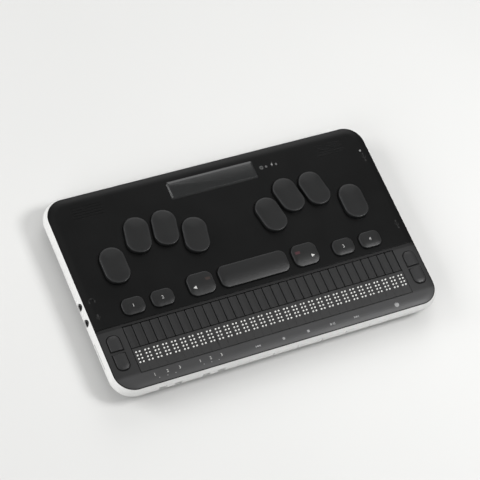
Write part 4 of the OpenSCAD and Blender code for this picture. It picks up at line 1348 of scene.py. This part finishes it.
@dataclass
class BrailleLine:
    """The cells, their pins, the routing keys behind them and the scroll keys beside them."""

    case: Case
    cells: int = 32
    pitch: float = 6.4
    cap_z: float = 17.8
    cap_ends: Point = (-61.1, -44.1)
    cap_reach: float = 0.2
    cap_soften: float = 0.12
    dots: int = 8
    pin_radius: float = 0.6
    pin_tip: float = 0.06
    pin_sides: int = 10
    pin_steps: int = 4
    pin_low: float = 13.8
    pin_top: float = 18.6
    banks: int = 4
    key_width: float = 6.1
    key_length: float = 15.8
    key_low: float = 14.25
    key_top: float = 18.1
    key_y: float = -35.9
    key_corner: float = 0.8
    key_steps: int = 4
    dish: float = 0.22
    dish_steps: int = 6
    end_drop: float = 0.35
    end_share: float = 0.02
    tail: float = 1.3
    tail_in: float = 0.1
    tail_top: float = 15.9
    scroll_x: float = 112.1
    scroll_width: float = 8.5
    scroll_radius: float = 3.6
    scroll_soften: float = 0.3
    scroll_edges: float = 17.2
    scroll_runs: tuple[tuple[str, float, float], ...] = (("up", -42.7, 10.7), ("down", -45.2, -11.3))
    # A dark ring round each scroll key is a painted shadow of the gap and the key's wall.
    gasket_in: float = 0.05
    gasket_out: float = 0.70
    gasket_lift: float = 0.02
    gasket_sink: float = 0.15
    gasket_steps: int = 8

    def build(self) -> None:
        """Make every piece of the line."""
        Skin("braille_cells", Look.CELL, self.cap_soften, self._on_cap_end).build()
        rows = RepeatTree("row_of_copies", True)
        for i in range(1, self.dots + 1):
            node = f"pins_dot_{i}"
            low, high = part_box(node)
            start = (low.x + self.pin_radius * MM, (low.y + high.y) / 2, 0.0)
            self._row(rows, node, "row", Look.PIN, self._pin(), self.cells, start)
        count = self.cells // self.banks
        for n in range(1, self.banks + 1):
            node = f"routing_keys_{n}"
            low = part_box(node)[0]
            start = (low.x + self.key_width / 2 * MM, self.key_y * MM, 0.0)
            self._row(rows, node, "bank", Look.ROUTING, self._routing_key(), count, start)
        self._scroll_keys()

    def _scroll_keys(self) -> None:
        """Make the scroll keys, each on its own body, and then the dark rings of painted shadow round them
        on the case.
        """
        keys = [
            (f"{name}_scroll_{way}", side * self.scroll_x, start, run)
            for name, side in (("left", -1), ("right", 1)) for way, start, run in self.scroll_runs
        ]
        on_top = beyond("z", self.scroll_edges)
        for node, *_ in keys:
            Skin(node, Look.SCROLL, self.scroll_soften, on_top, node).build()
        for node, *place in keys:
            self._gasket(f"{node}_gasket", *place)

    def _on_cap_end(self, middle: Vector) -> bool:
        """Tell whether a place lies at the upper end of a cell's cap."""
        at_end = any(abs(middle.y - end) < self.cap_reach for end in self.cap_ends)
        return at_end and middle.z > self.cap_z

    def _row(
        self, rows: RepeatTree, node: str, suffix: str, look: Look, shape: bpy.types.Mesh,
        count: int, start: Triple,
    ) -> None:
        """Grow a row of copies on its own body.

        Args:
            rows: The tree that grows rows.
            node: The node, whose body has the same name.
            suffix: What the piece's name adds to the node's.
            look: The finish.
            shape: The mesh to be copied.
            count: Number of copies.
            start: Place of the first, in metres.
        """
        step = (self.pitch * MM, 0.0, 0.0)
        mesh = rows.grow(shape, look, Count=count, Start=start, Pitch=step)
        add_piece(f"{node}_{suffix}", mesh, look, node, [node])

    def _pin(self) -> bpy.types.Mesh:
        """Make one pin with a round end.

        Returns:
            The pin's mesh.
        """
        radius = self.pin_radius
        profile = [(radius, self.pin_low)]
        profile += bow(0.0, self.pin_top - radius, radius, 0, 90, self.pin_steps)[:-1]
        profile.append((self.pin_tip * radius, self.pin_top))
        return to_mesh(lathe(profile, self.pin_sides), "pin_shape", sharp=60.0)

    def _routing_key(self) -> bpy.types.Mesh:
        """Make one routing key: rounded shoulders, a dished top, and a tail under the rail.

        Returns:
            The key's mesh.
        """
        half, corner, top = self.key_width / 2, self.key_corner, self.key_top
        run = half - corner
        section: list[Point] = [(-half, self.key_low), (half, self.key_low)]
        section += bow(run, top - corner, corner, 0, 90, self.key_steps)
        for k in range(1, self.dish_steps):
            across = run - 2 * run * k / self.dish_steps
            section.append((across, top - self.dish * (1 - (across / run) ** 2)))
        section += bow(-run, top - corner, corner, 90, 180, self.key_steps)
        rings = []
        inner = 0.5 - self.end_share
        for share, sink in ((-0.5, self.end_drop), (-inner, 0.0), (inner, 0.0), (0.5, self.end_drop)):
            shrink, y = 1 - 0.5 * sink / half, share * self.key_length
            rings.append([
                spot(across * shrink, y, z - (sink if z > self.key_low else 0.0))
                for across, z in reversed(section)
            ])
        bm = loft(rings)
        front, back = self.key_length / 2 - self.tail_in, self.key_length / 2 + self.tail
        outline = [(-half / 2, front), (half / 2, front), (half / 2, back), (-half / 2, back)]
        low, high = (
            [bm.verts.new(spot(px, py, z)) for px, py in outline] for z in (self.key_low, self.tail_top)
        )
        bridge(bm, low, high)
        bm.faces.new(list(reversed(low)))
        bm.faces.new(high)
        return to_mesh(face_out(bm), "routing_shape")

    def _gasket(self, name: str, x: float, start: float, run: float) -> None:
        """Lay a dark ring round a scroll key's opening, over the bezel: a painted shadow of the gap and the
        key's wall.

        Args:
            name: The ring's name.
            x: Middle of the key.
            start: Place of the key's flat end along Y.
            run: Length of the key from there, negative towards the front.
        """
        # Painted shadow: a dark ring laid on the bezel round the key.
        way = 1 if run > 0 else -1
        inside, outside = self.gasket_in, self.gasket_out
        low, high = -self.gasket_sink, self.gasket_lift
        rows = []
        for grow, lift in ((inside, low), (inside, high), (outside, high), (outside, low)):
            half, radius = self.scroll_width / 2 + grow, self.scroll_radius + grow
            far = abs(run) + grow - radius
            outline = [(-half, -grow), (half, -grow)]
            outline += bow(half - radius, far, radius, 0, 90, self.gasket_steps)
            outline += bow(radius - half, far, radius, 90, 180, self.gasket_steps)
            places = [(x + px, start + way * py) for px, py in outline]
            rows.append([spot(px, py, self.case.height(px, py) + lift) for px, py in places])
        add_piece(name, to_mesh(hoop(rows), name), Look.SEAL, CASE, slot="bezel_grey")


# The display and the sockets

@dataclass
class Display:
    """The window over the small screen, and the lights."""

    width: float = 66.3
    depth: float = 13.6
    y: float = 57.3
    corner: float = 1.5
    least_corner: float = 0.15
    low: float = 17.0
    shoulder: float = 18.0
    top: float = 18.7
    bevel: float = 1.2
    back_bevel: float = 1.6
    back_lift: float = 0.25
    ease: float = 0.12
    shoulder_ease: float = 0.10
    top_ease: float = 0.06
    back_top_ease: float = 0.04
    light_soften: float = 0.15
    light_edges: float = 17.9

    def build(self) -> None:
        """Make the window and the lights."""
        sides = self._profile(self.shoulder, self.bevel, self.top_ease)
        back = self._profile(self.shoulder + self.back_lift, self.back_bevel, self.back_top_ease)
        rings = [self._ring(*steps) for steps in zip(sides, back)]
        mesh = to_mesh(loft(rings), "lcd_window_lens", sharp=12.0)
        add_piece("lcd_window_lens", mesh, Look.LENS, CASE, ["lcd_window"])
        Skin("status_lights", Look.PIPE, self.light_soften, beyond("z", self.light_edges)).build()

    def _profile(self, shoulder: float, bevel: float, top_ease: float) -> list[Point]:
        """Give insets and heights up a side.

        Args:
            shoulder: Height of the shoulder.
            bevel: Width of the slope above it.
            top_ease: Drop at the upper end of the slope.

        Returns:
            Five pairs of inset and height.
        """
        return [
            (0.0, self.low), (0.0, shoulder - self.ease), (self.shoulder_ease, shoulder),
            (bevel - self.ease, self.top - top_ease), (bevel + self.ease, self.top),
        ]

    def _outline(self, inset: float) -> list[Point]:
        """Give the window's outline at an inset.

        Args:
            inset: Distance from the window's edge.

        Returns:
            The outline's points.
        """
        corner = max(self.corner - inset, self.least_corner)
        width, depth = self.width - 2 * inset, self.depth - 2 * inset
        return rounded_outline(width, depth, corner, arc=8, side=2)

    def _ring(self, side: Point, back: Point) -> list[Vector]:
        """Give a ring of the window.

        Args:
            side: Inset and height at the front and the ends.
            back: Inset and height at the back, where the slope is lower and wider.

        Returns:
            The ring's points.
        """
        ring = []
        for (_, edge), low, high in zip(self._outline(0.0), self._outline(side[0]), self._outline(back[0])):
            share = min(max((edge - self.depth / 2 + self.corner) / self.corner, 0.0), 1.0)
            place = Vector((*low, side[1])).lerp(Vector((*high, back[1])), share)
            ring.append((place + Vector((0.0, self.y, 0.0))) * MM)
        return ring


@dataclass
class Sides:
    """The front buttons and slide switches, and the sockets at both ends."""

    buttons: tuple[str, ...] = (
        "media_button_1", "media_button_2", "media_button_3", "media_button_4", "media_button_5",
        "power_button", "lock_switch", "mode_switch",
    )
    button_soften: float = 0.22
    button_edges: float = -71.5
    jack_soften: float = 0.2
    jack_edges: float = -122.2
    port_soften: float = 0.08
    port_edges: float = 121.0

    def build(self) -> None:
        """Make the pieces of the band."""
        for node in self.buttons:
            on_face = beyond("y", self.button_edges, -1)
            Skin(node, Look.BUTTON, self.button_soften, on_face, node).build()
        Skin("audio_jacks", Look.JACK, self.jack_soften, beyond("x", self.jack_edges, -1)).build()
        Skin("usb_c_ports", Look.STEEL, self.port_soften, beyond("x", self.port_edges)).build()


@dataclass
class Underside:
    """The feet and the screws."""

    foot_dish: float = 0.15
    foot_dish_shares: Triple = (0.1, 0.55, 0.62)
    foot_round: float = 0.35
    foot_steps: int = 4
    foot_sides: int = 48
    cross_length: float = 0.62
    cross_width: float = 0.20
    cross_depth: float = 0.55
    cross_taper: float = 0.8
    shank_share: float = 0.5
    head_height: float = 1.2
    head_round: float = 0.2
    head_edge: float = 0.06
    tip_length: float = 0.3
    tip_share: float = 0.6
    screw_sides: int = 32
    screw_sharp: float = 35.0

    def build(self) -> None:
        """Grow the feet and the screws on the spots of their solids."""
        spots = RepeatTree("copies_on_spots", False)
        self._feet(spots)
        self._screws(spots)

    def _feet(self, spots: RepeatTree) -> None:
        """Grow the feet.

        Args:
            spots: The tree that sets copies on spots.
        """
        boxes = islands("rubber_feet")
        low, high = boxes[0]
        radius, top = (high.x - low.x) / 2 / MM, high.z / MM
        bend, dish = self.foot_round, self.foot_dish
        centre, floor, rim = (share * radius for share in self.foot_dish_shares)
        profile = [(centre, dish), (floor, dish), (rim, 0.0)]
        profile += bow(radius - bend, bend, bend, -90, 0, self.foot_steps)
        profile.append((radius, top))
        places = [middle_of(*box) for box in boxes]
        shape = to_mesh(lathe(profile, self.foot_sides), "foot_shape", sharp=50.0)
        mesh = spots.grow(shape, Look.RUBBER, places)
        add_piece("rubber_feet_set", mesh, Look.RUBBER, CASE, ["rubber_feet"])

    def _screws(self, spots: RepeatTree) -> None:
        """Grow the screws, one shape for each length and head.

        Args:
            spots: The tree that sets copies on spots.
        """
        kinds: dict[Triple, list[Vector]] = {}
        for low, high in islands("case_screws"):
            kind = tuple(round(size / MM, 2) for size in ((high.x - low.x) / 2, low.z, high.z))
            kinds.setdefault(kind, []).append(middle_of(low, high))
        joined_screws = bmesh.new()
        for kind, places in kinds.items():
            shape = to_mesh(self._screw(*kind), "screw_shape", self.screw_sharp)
            mesh = spots.grow(shape, Look.SCREW, places)
            joined_screws.from_mesh(mesh)
            bpy.data.meshes.remove(mesh)
        mesh = to_mesh(joined_screws, "case_screws_set", self.screw_sharp)
        add_piece("case_screws_set", mesh, Look.SCREW, CASE, ["case_screws"])

    def _screw(self, radius: float, low: float, high: float) -> bmesh.types.BMesh:
        """Make a screw that stands on its head, with a cross recess in the head.

        Args:
            radius: Radius of the head.
            low: Height of the head's face.
            high: Height of the shank's end.

        Returns:
            The closed screw.
        """
        neck = low + min(self.head_height, (high - low) / 2)
        shank, bend, edge = radius * self.shank_share, self.head_round, self.head_edge
        bm = lathe([
            (radius - bend, low), (radius - edge, low + edge), (radius, low + bend), (radius, neck),
            (shank, neck), (shank, high - self.tip_length), (shank * self.tip_share, high),
        ], self.screw_sides)
        face = min(bm.faces, key=lambda f: f.calc_center_median().z)
        rim = list(face.edges)
        bmesh.ops.delete(bm, geom=[face], context="FACES_ONLY")
        length, width = self.cross_length * radius, self.cross_width * radius
        arm = [(width, -width), (length, -width), (length, width)]
        turns = [Matrix.Rotation(math.pi / 2 * k, 2) for k in range(4)]
        cross = [turn @ Vector(corner) for turn in turns for corner in arm]
        mouth = [bm.verts.new(spot(*v, low)) for v in cross]
        floor = [bm.verts.new(spot(*(v * self.cross_taper), low + self.cross_depth)) for v in cross]
        bridge(bm, mouth, floor)
        loop = [bm.edges.get((mouth[i - 1], mouth[i])) for i in range(len(mouth))]
        bm.faces.new(floor)
        bmesh.ops.triangle_fill(bm, use_beauty=True, use_dissolve=False, edges=rim + loop)
        return face_out(bm)


@dataclass
class Inside:
    """The solids inside the case, which keep their form and get their own finish."""

    looks: tuple[tuple[str, Look], ...] = (
        ("lcd_module", Look.GLASS), ("main_board", Look.BOARD), ("keypad_board", Look.BOARD),
        ("key_switches", Look.SWITCH), ("cell_backplane", Look.BOARD), ("routing_board", Look.BOARD),
        ("front_switch_board", Look.BOARD), ("battery_pack", Look.WRAP), ("speakers", Look.SPEAKER),
    )

    def build(self) -> None:
        """Dress each node in its own slot."""
        for node, look in self.looks:
            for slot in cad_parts[node].material_slots:
                slot.material = look.value.material()
            LOG.info("%s: dressed as %s", node, look.value.slot)


# The marks

def stroke(points: Sequence[Point], width: float) -> list[Point]:
    """Give the outline of a line of a given width along some points.

    Args:
        points: The points.
        width: The width.

    Returns:
        The outline, anticlockwise.
    """
    left: list[Point] = []
    right: list[Point] = []
    for i, (x, y) in enumerate(points):
        before, after = points[max(i - 1, 0)], points[min(i + 1, len(points) - 1)]
        run = math.hypot(after[0] - before[0], after[1] - before[1])
        nx, ny = -(after[1] - before[1]) / run, (after[0] - before[0]) / run
        left.append((x + nx * width / 2, y + ny * width / 2))
        right.append((x - nx * width / 2, y - ny * width / 2))
    return right + list(reversed(left))


def bar(x: float, y: float, width: float, height: float) -> list[Point]:
    """Give the outline of a bar about a middle."""
    left, right, low, high = x - width / 2, x + width / 2, y - height / 2, y + height / 2
    return [(left, low), (right, low), (right, high), (left, high)]


def arrow(x: float, y: float, size: float, way: int) -> list[Point]:
    """Give a triangle that points left or right.

    Args:
        x: Middle along X.
        y: Middle along Y.
        size: Length and height.
        way: 1 to the right, and -1 to the left.

    Returns:
        The outline, anticlockwise.
    """
    tip, base = x + way * size / 2, x - way * size / 2
    shape = [(base, y - size / 2), (tip, y), (base, y + size / 2)]
    return shape if way > 0 else list(reversed(shape))


@dataclass
class Surface:
    """What a mark is printed on."""

    height: Height
    slot: str
    body: str = CASE


@dataclass
class Printing:
    """The printed marks: plain numbers and common symbols."""

    case: Case
    keyboard: Keyboard
    lift: float = 0.025
    sink: float = 0.03
    cuts: int = 2
    curve_steps: int = 3
    line: float = 0.32
    function_size: float = 3.4
    function_shift: Point = (-0.15, -0.05)
    arrow_size: float = 2.4
    arrow_marks: tuple[tuple[str, float, float, float, int, Print], ...] = (
        ("left_arrow_key", -45.1, -15.9, -34.1, -1, Print.RUST),
        ("right_arrow_key", 44.6, -16.1, 34.3, 1, Print.ROSE),
    )
    dash_up: float = 2.1
    dash_size: Point = (3.6, 1.9)
    strip_y: float = -66.7
    media_x: tuple[float, ...] = (-19.7, -0.5, 18.2, 36.8, 55.2)
    skip_size: float = 1.6
    skip_shifts: Point = (-0.9, 0.6)
    skip_bar: Point = (1.7, 0.4)
    record_radius: float = 0.95
    stop_size: float = 1.7
    play_size: float = 1.8
    play_bars: Point = (0.7, 1.6)
    play_bar_width: float = 0.45
    power_x: float = 87.2
    power_radius: float = 1.5
    power_bar: Point = (1.15, 1.6)
    switch_y: float = -65.2
    switch_size: float = 2.8
    switch_numbers: tuple[Triple, ...] = ((-94.6, -85.4, -76.6), (-61.8, -54.2, -46.2))
    switch_dots: tuple[Triple, ...] = ((-92.2, -86.4, -80.6), (-60.2, -54.6, -49.2))
    dot_y: float = -67.9
    dot_radius: float = 0.32
    ring: Triple = (38.0, 57.3, 1.15)
    ring_line: float = 0.42
    bolt: tuple[Point, ...] = (
        (46.0, 56.2), (47.0, 58.0), (46.45, 58.0), (46.9, 59.4), (45.5, 57.5), (46.15, 57.5)
    )
    phones_at: Point = (-115.0, -4.6)
    phones_radius: float = 1.9
    cup_size: Point = (0.9, 1.6)
    cup_down: float = 0.7
    microphone_at: Point = (-115.0, -16.0)
    capsule_radius: float = 0.7
    capsule_ends: Point = (0.9, -0.3)
    stand_radius: float = 1.4
    stand_foot: Point = (2.2, 1.0)
    socket_x: float = 115.0
    socket_places: Point = (45.4, -10.2)
    socket_stem: float = 5.2
    socket_ball: Point = (2.6, 0.7)
    socket_tip: tuple[Point, ...] = ((-0.8, 2.4), (0.8, 2.4), (0.0, 3.8))
    socket_arms: tuple[tuple[Point, ...], ...] = (
        ((0.0, -1.2), (1.3, 0.0), (1.3, 1.0)), ((0.0, -0.6), (-1.3, 0.5), (-1.3, 1.4)),
    )

    def build(self) -> None:
        """Print every mark."""
        self._keys()
        self._strip(Surface(self.case.height, "bezel_grey"))
        self._deck(Surface(self.case.height, "deck_black"))

    def _mark(self, name: str, shapes: Iterable[list[Point]], ink: Print, surface: Surface) -> None:
        """Print flat shapes.

        Args:
            name: The mark's name.
            shapes: Outlines in millimetres, anticlockwise.
            ink: The ink.
            surface: What they are printed on.
        """
        bm = bmesh.new()
        for outline in shapes:
            bm.faces.new([bm.verts.new(spot(x, y)) for x, y in outline])
        self._plate(bm, name, ink, surface)

    def _plate(self, bm: bmesh.types.BMesh, name: str, ink: Print, surface: Surface) -> None:
        """Cut flat faces fine, give them thickness and lay them on a surface.

        Args:
            bm: The faces, at height 0.
            name: The mark's name.
            ink: The ink.
            surface: What they are laid on.
        """
        bmesh.ops.triangulate(bm, faces=bm.faces)
        bmesh.ops.subdivide_edges(bm, edges=bm.edges, cuts=self.cuts, use_grid_fill=True)
        bmesh.ops.triangulate(bm, faces=bm.faces)
        for face in face_out(bm).faces:
            if face.normal.z < 0:
                face.normal_flip()
        low = list(bm.verts)
        grown = bmesh.ops.extrude_face_region(bm, geom=list(bm.faces), use_keep_orig=True)
        high = [item for item in grown["geom"] if isinstance(item, bmesh.types.BMVert)]
        for verts, offset in ((low, -self.sink), (high, self.lift)):
            for vert in verts:
                vert.co.z = (surface.height(vert.co.x / MM, vert.co.y / MM) + offset) * MM
        mesh = to_mesh(face_out(bm), name, sharp=30.0)
        add_piece(name, mesh, ink, surface.body, slot=surface.slot)

    def _number(
        self, name: str, text: str, place: Point, size: float, ink: Print, surface: Surface
    ) -> None:
        """Print a plain number about a middle.

        Args:
            name: The mark's name.
            text: The number.
            place: Its middle.
            size: Its size.
            ink: The ink.
            surface: What it is printed on.
        """
        curve = bpy.data.curves.new(name, "FONT")
        curve.body, curve.size, curve.resolution_u = text, size * MM, self.curve_steps
        curve.align_x, curve.align_y = "CENTER", "CENTER"
        writer = bpy.data.objects.new(name, curve)
        bpy.context.scene.collection.objects.link(writer)
        flat = evaluated_mesh(writer)
        bpy.data.objects.remove(writer)
        bpy.data.curves.remove(curve)
        bm = bmesh.new()
        bm.from_mesh(flat)
        bpy.data.meshes.remove(flat)
        bmesh.ops.remove_doubles(bm, verts=bm.verts, dist=WELD / 10)
        bmesh.ops.translate(bm, verts=bm.verts, vec=spot(*place))
        self._plate(bm, name, ink, surface)

    def _keys(self) -> None:
        """Print the function numbers and the arrows."""
        shift_x, shift_y = self.function_shift
        for i in range(1, 5):
            cap = self.keyboard.caps[f"function_key_{i}"]
            surface = Surface(cap.height, "key_black", cap.node)
            place = (cap.x + shift_x, cap.y + shift_y)
            self._number(f"function_number_{i}", str(i), place, self.function_size, Print.PALE, surface)
        for node, x, y, dash_x, way, ink in self.arrow_marks:
            cap = self.keyboard.caps[node]
            surface = Surface(cap.height, "key_black", node)
            dash = bar(dash_x, cap.y + self.dash_up, *self.dash_size)
            self._mark(f"{node}_mark", [arrow(x, y, self.arrow_size, way)], Print.WHITE, surface)
            self._mark(f"{node}_dash", [dash], ink, surface)

    def _strip(self, surface: Surface) -> None:
        """Print the marks on the front strip.

        Args:
            surface: The strip.
        """
        y, size = self.strip_y, self.play_size
        back, record, stop, play, ahead = self.media_x
        bars = [bar(play + shift, y, self.play_bar_width, size) for shift in self.play_bars]
        ring = stroke(bow(self.power_x, y, self.power_radius, 125, 415, 26), self.line)
        rise, length = self.power_bar
        marks = (
            ("previous", self._skip(back, y, -1)),
            ("record", [bow(record, y, self.record_radius, 0, 342, 19)]),
            ("stop", [bar(stop, y, self.stop_size, self.stop_size)]),
            ("play", [arrow(play - size / 2, y, size, 1)] + bars),
            ("next", self._skip(ahead, y, 1)),
            ("power", [ring, bar(self.power_x, y + rise, self.line, length)]),
        )
        for name, shapes in marks:
            self._mark(f"{name}_mark", shapes, Print.GREY, surface)
        for group, (numbers, dots) in enumerate(zip(self.switch_numbers, self.switch_dots), 1):
            for k, x in enumerate(numbers, 1):
                name, place = f"switch_{group}_number_{k}", (x, self.switch_y)
                self._number(name, str(k), place, self.switch_size, Print.WHITE, surface)
            spots = [bow(x, self.dot_y, self.dot_radius, 0, 330, 11) for x in dots]
            self._mark(f"switch_{group}_dots", spots, Print.GREY, surface)

    def _skip(self, x: float, y: float, way: int) -> list[list[Point]]:
        """Give two arrows that point one way, to a bar."""
        arrows = [arrow(x + way * shift, y, self.skip_size, way) for shift in self.skip_shifts]
        return arrows + [bar(x + way * self.skip_bar[0], y, self.skip_bar[1], self.skip_size)]

    def _deck(self, surface: Surface) -> None:
        """Print the symbols beside the window and by the sockets.

        Args:
            surface: The deck.
        """
        thin = self.line
        ring = stroke(bow(*self.ring, 20, 375, 26), self.ring_line)
        self._mark("window_ring", [ring], Print.DIM, surface)
        self._mark("window_bolt", [list(self.bolt)], Print.GREY, surface)
        x, y = self.phones_at
        radius = self.phones_radius
        cups = [bar(x + side * radius, y - self.cup_down, *self.cup_size) for side in (-1, 1)]
        phones = [stroke(bow(x, y, radius, 0, 180, 18), thin)] + cups
        self._mark("headphone_symbol", phones, Print.FAINT, surface)
        x, y = self.microphone_at
        (top, low), radius = self.capsule_ends, self.capsule_radius
        capsule = bow(x, y + top, radius, 0, 180, 10) + bow(x, y + low, radius, 180, 360, 10)
        cradle = stroke(bow(x, y + low, self.stand_radius, 180, 360, 16), thin)
        foot = bar(x, y - self.stand_foot[0], thin, self.stand_foot[1])
        self._mark("microphone_symbol", [capsule, cradle, foot], Print.FAINT, surface)
        x = self.socket_x
        down, radius = self.socket_ball
        for k, y in enumerate(self.socket_places, 1):
            symbol = [bar(x, y, thin, self.socket_stem), bow(x, y - down, radius, 0, 330, 11)]
            symbol.append([(x + dx, y + dy) for dx, dy in self.socket_tip])
            symbol += [stroke([(x + dx, y + dy) for dx, dy in arm], thin) for arm in self.socket_arms]
            self._mark(f"socket_symbol_{k}", symbol, Print.FAINT, surface)


# The stage

@dataclass
class Studio:
    """Floor, lamps and camera, in metres. A lamp has a name, a place, a side and a power in watts."""

    camera_at: Triple = (-0.533617, -0.452712, 1.150290)
    view: Triple = (0.400030, 0.346295, -0.848561)
    roll: float = 29.1536
    lens: float = 148.188
    sensor: float = 36.0
    clip: Point = (0.05, 20.0)
    floor_size: float = 6.0
    floor_colour: Triple = (0.66, 0.66, 0.65)
    floor_cloud: float = 180.0
    floor_mottle: float = 0.02
    floor_rough: float = 0.9
    floor_specular: float = 0.1
    floor_cells: int = 8
    sky: float = 0.30
    aim: Triple = (0.0, 0.0, 0.01)
    lamps: tuple[tuple[str, Triple, float, float], ...] = (
        ("top_lamp", (0.42, -0.18, 0.65), 0.25, 3.9),
        ("zenith_lamp", (-0.16, 0.50, 1.52), 0.7, 1.5),
        ("left_lamp", (-1.28, 0.60, 0.74), 0.8, 13.5),
        ("back_lamp", (0.66, 1.27, 0.91), 1.0, 7.6),
        ("front_lamp", (-1.30, -0.60, 0.69), 0.9, 9.0),
    )

    def build(self) -> None:
        """Set the stage."""
        bpy.context.scene.view_settings.view_transform = "Standard"
        self._floor()
        self._sky()
        for name, place, size, watts in self.lamps:
            lamp = bpy.data.lights.new(name, "AREA")
            lamp.shape, lamp.size, lamp.energy = "SQUARE", size, watts
            look = Vector(self.aim) - Vector(place)
            self._hang(name, lamp, place, look.to_track_quat("-Z", "Y"))
        self._camera()

    def _hang(self, name: str, data: bpy.types.ID, place: Triple, turn: Quaternion) -> bpy.types.Object:
        """Put a lamp or a camera in the scene.

        Args:
            name: The object's name.
            data: The lamp or the camera.
            place: Its place.
            turn: Its turn.

        Returns:
            The object.
        """
        obj = bpy.data.objects.new(name, data)
        obj.location = place
        obj.rotation_euler = turn.to_euler()
        bpy.context.scene.collection.objects.link(obj)
        return obj

    def _floor(self) -> None:
        """Lay a pale floor with a faint grain."""
        bm = bmesh.new()
        cells = self.floor_cells
        bmesh.ops.create_grid(bm, x_segments=cells, y_segments=cells, size=self.floor_size / 2)
        mesh = bpy.data.meshes.new("floor")
        bm.to_mesh(mesh)
        bm.free()
        graph = Graph("floor_finish")
        gains = (1 - self.floor_mottle, 1 + self.floor_mottle)
        tones = [rgba(self.floor_colour, gain) for gain in gains]
        colour = graph.mix(graph.noise(self.floor_cloud), *tones)
        graph.shade(
            Base_Color=colour, Roughness=self.floor_rough, Specular_IOR_Level=self.floor_specular
        )
        mesh.materials.append(graph.material)
        mesh_object("floor", mesh)

    def _sky(self) -> None:
        """Light everything evenly."""
        world = bpy.data.worlds.new("sky")
        world.use_nodes = True
        background = world.node_tree.nodes["Background"]
        background.inputs["Color"].default_value = (1.0, 1.0, 1.0, 1.0)
        background.inputs["Strength"].default_value = self.sky
        bpy.context.scene.world = world

    def _camera(self) -> None:
        """Set up the camera at the photograph's angle."""
        camera = bpy.data.cameras.new("camera")
        camera.lens, camera.sensor_width, camera.sensor_fit = self.lens, self.sensor, "HORIZONTAL"
        camera.clip_start, camera.clip_end = self.clip
        level = Vector(self.view).to_track_quat("-Z", "Y")
        turn = level @ Quaternion((0.0, 0.0, 1.0), math.radians(self.roll))
        bpy.context.scene.camera = self._hang("camera", camera, self.camera_at, turn)


def main() -> None:
    """Build the scene."""
    logging.basicConfig(level=logging.INFO, format="%(name)s %(message)s")
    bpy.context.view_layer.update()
    case, keyboard = Case(), Keyboard()
    parts = (
        Studio(), case, keyboard, BrailleLine(case), Display(), Sides(), Underside(), Inside(),
        Printing(case, keyboard),
    )
    for part in parts:
        part.build()


if __name__ == "__main__":
    main()
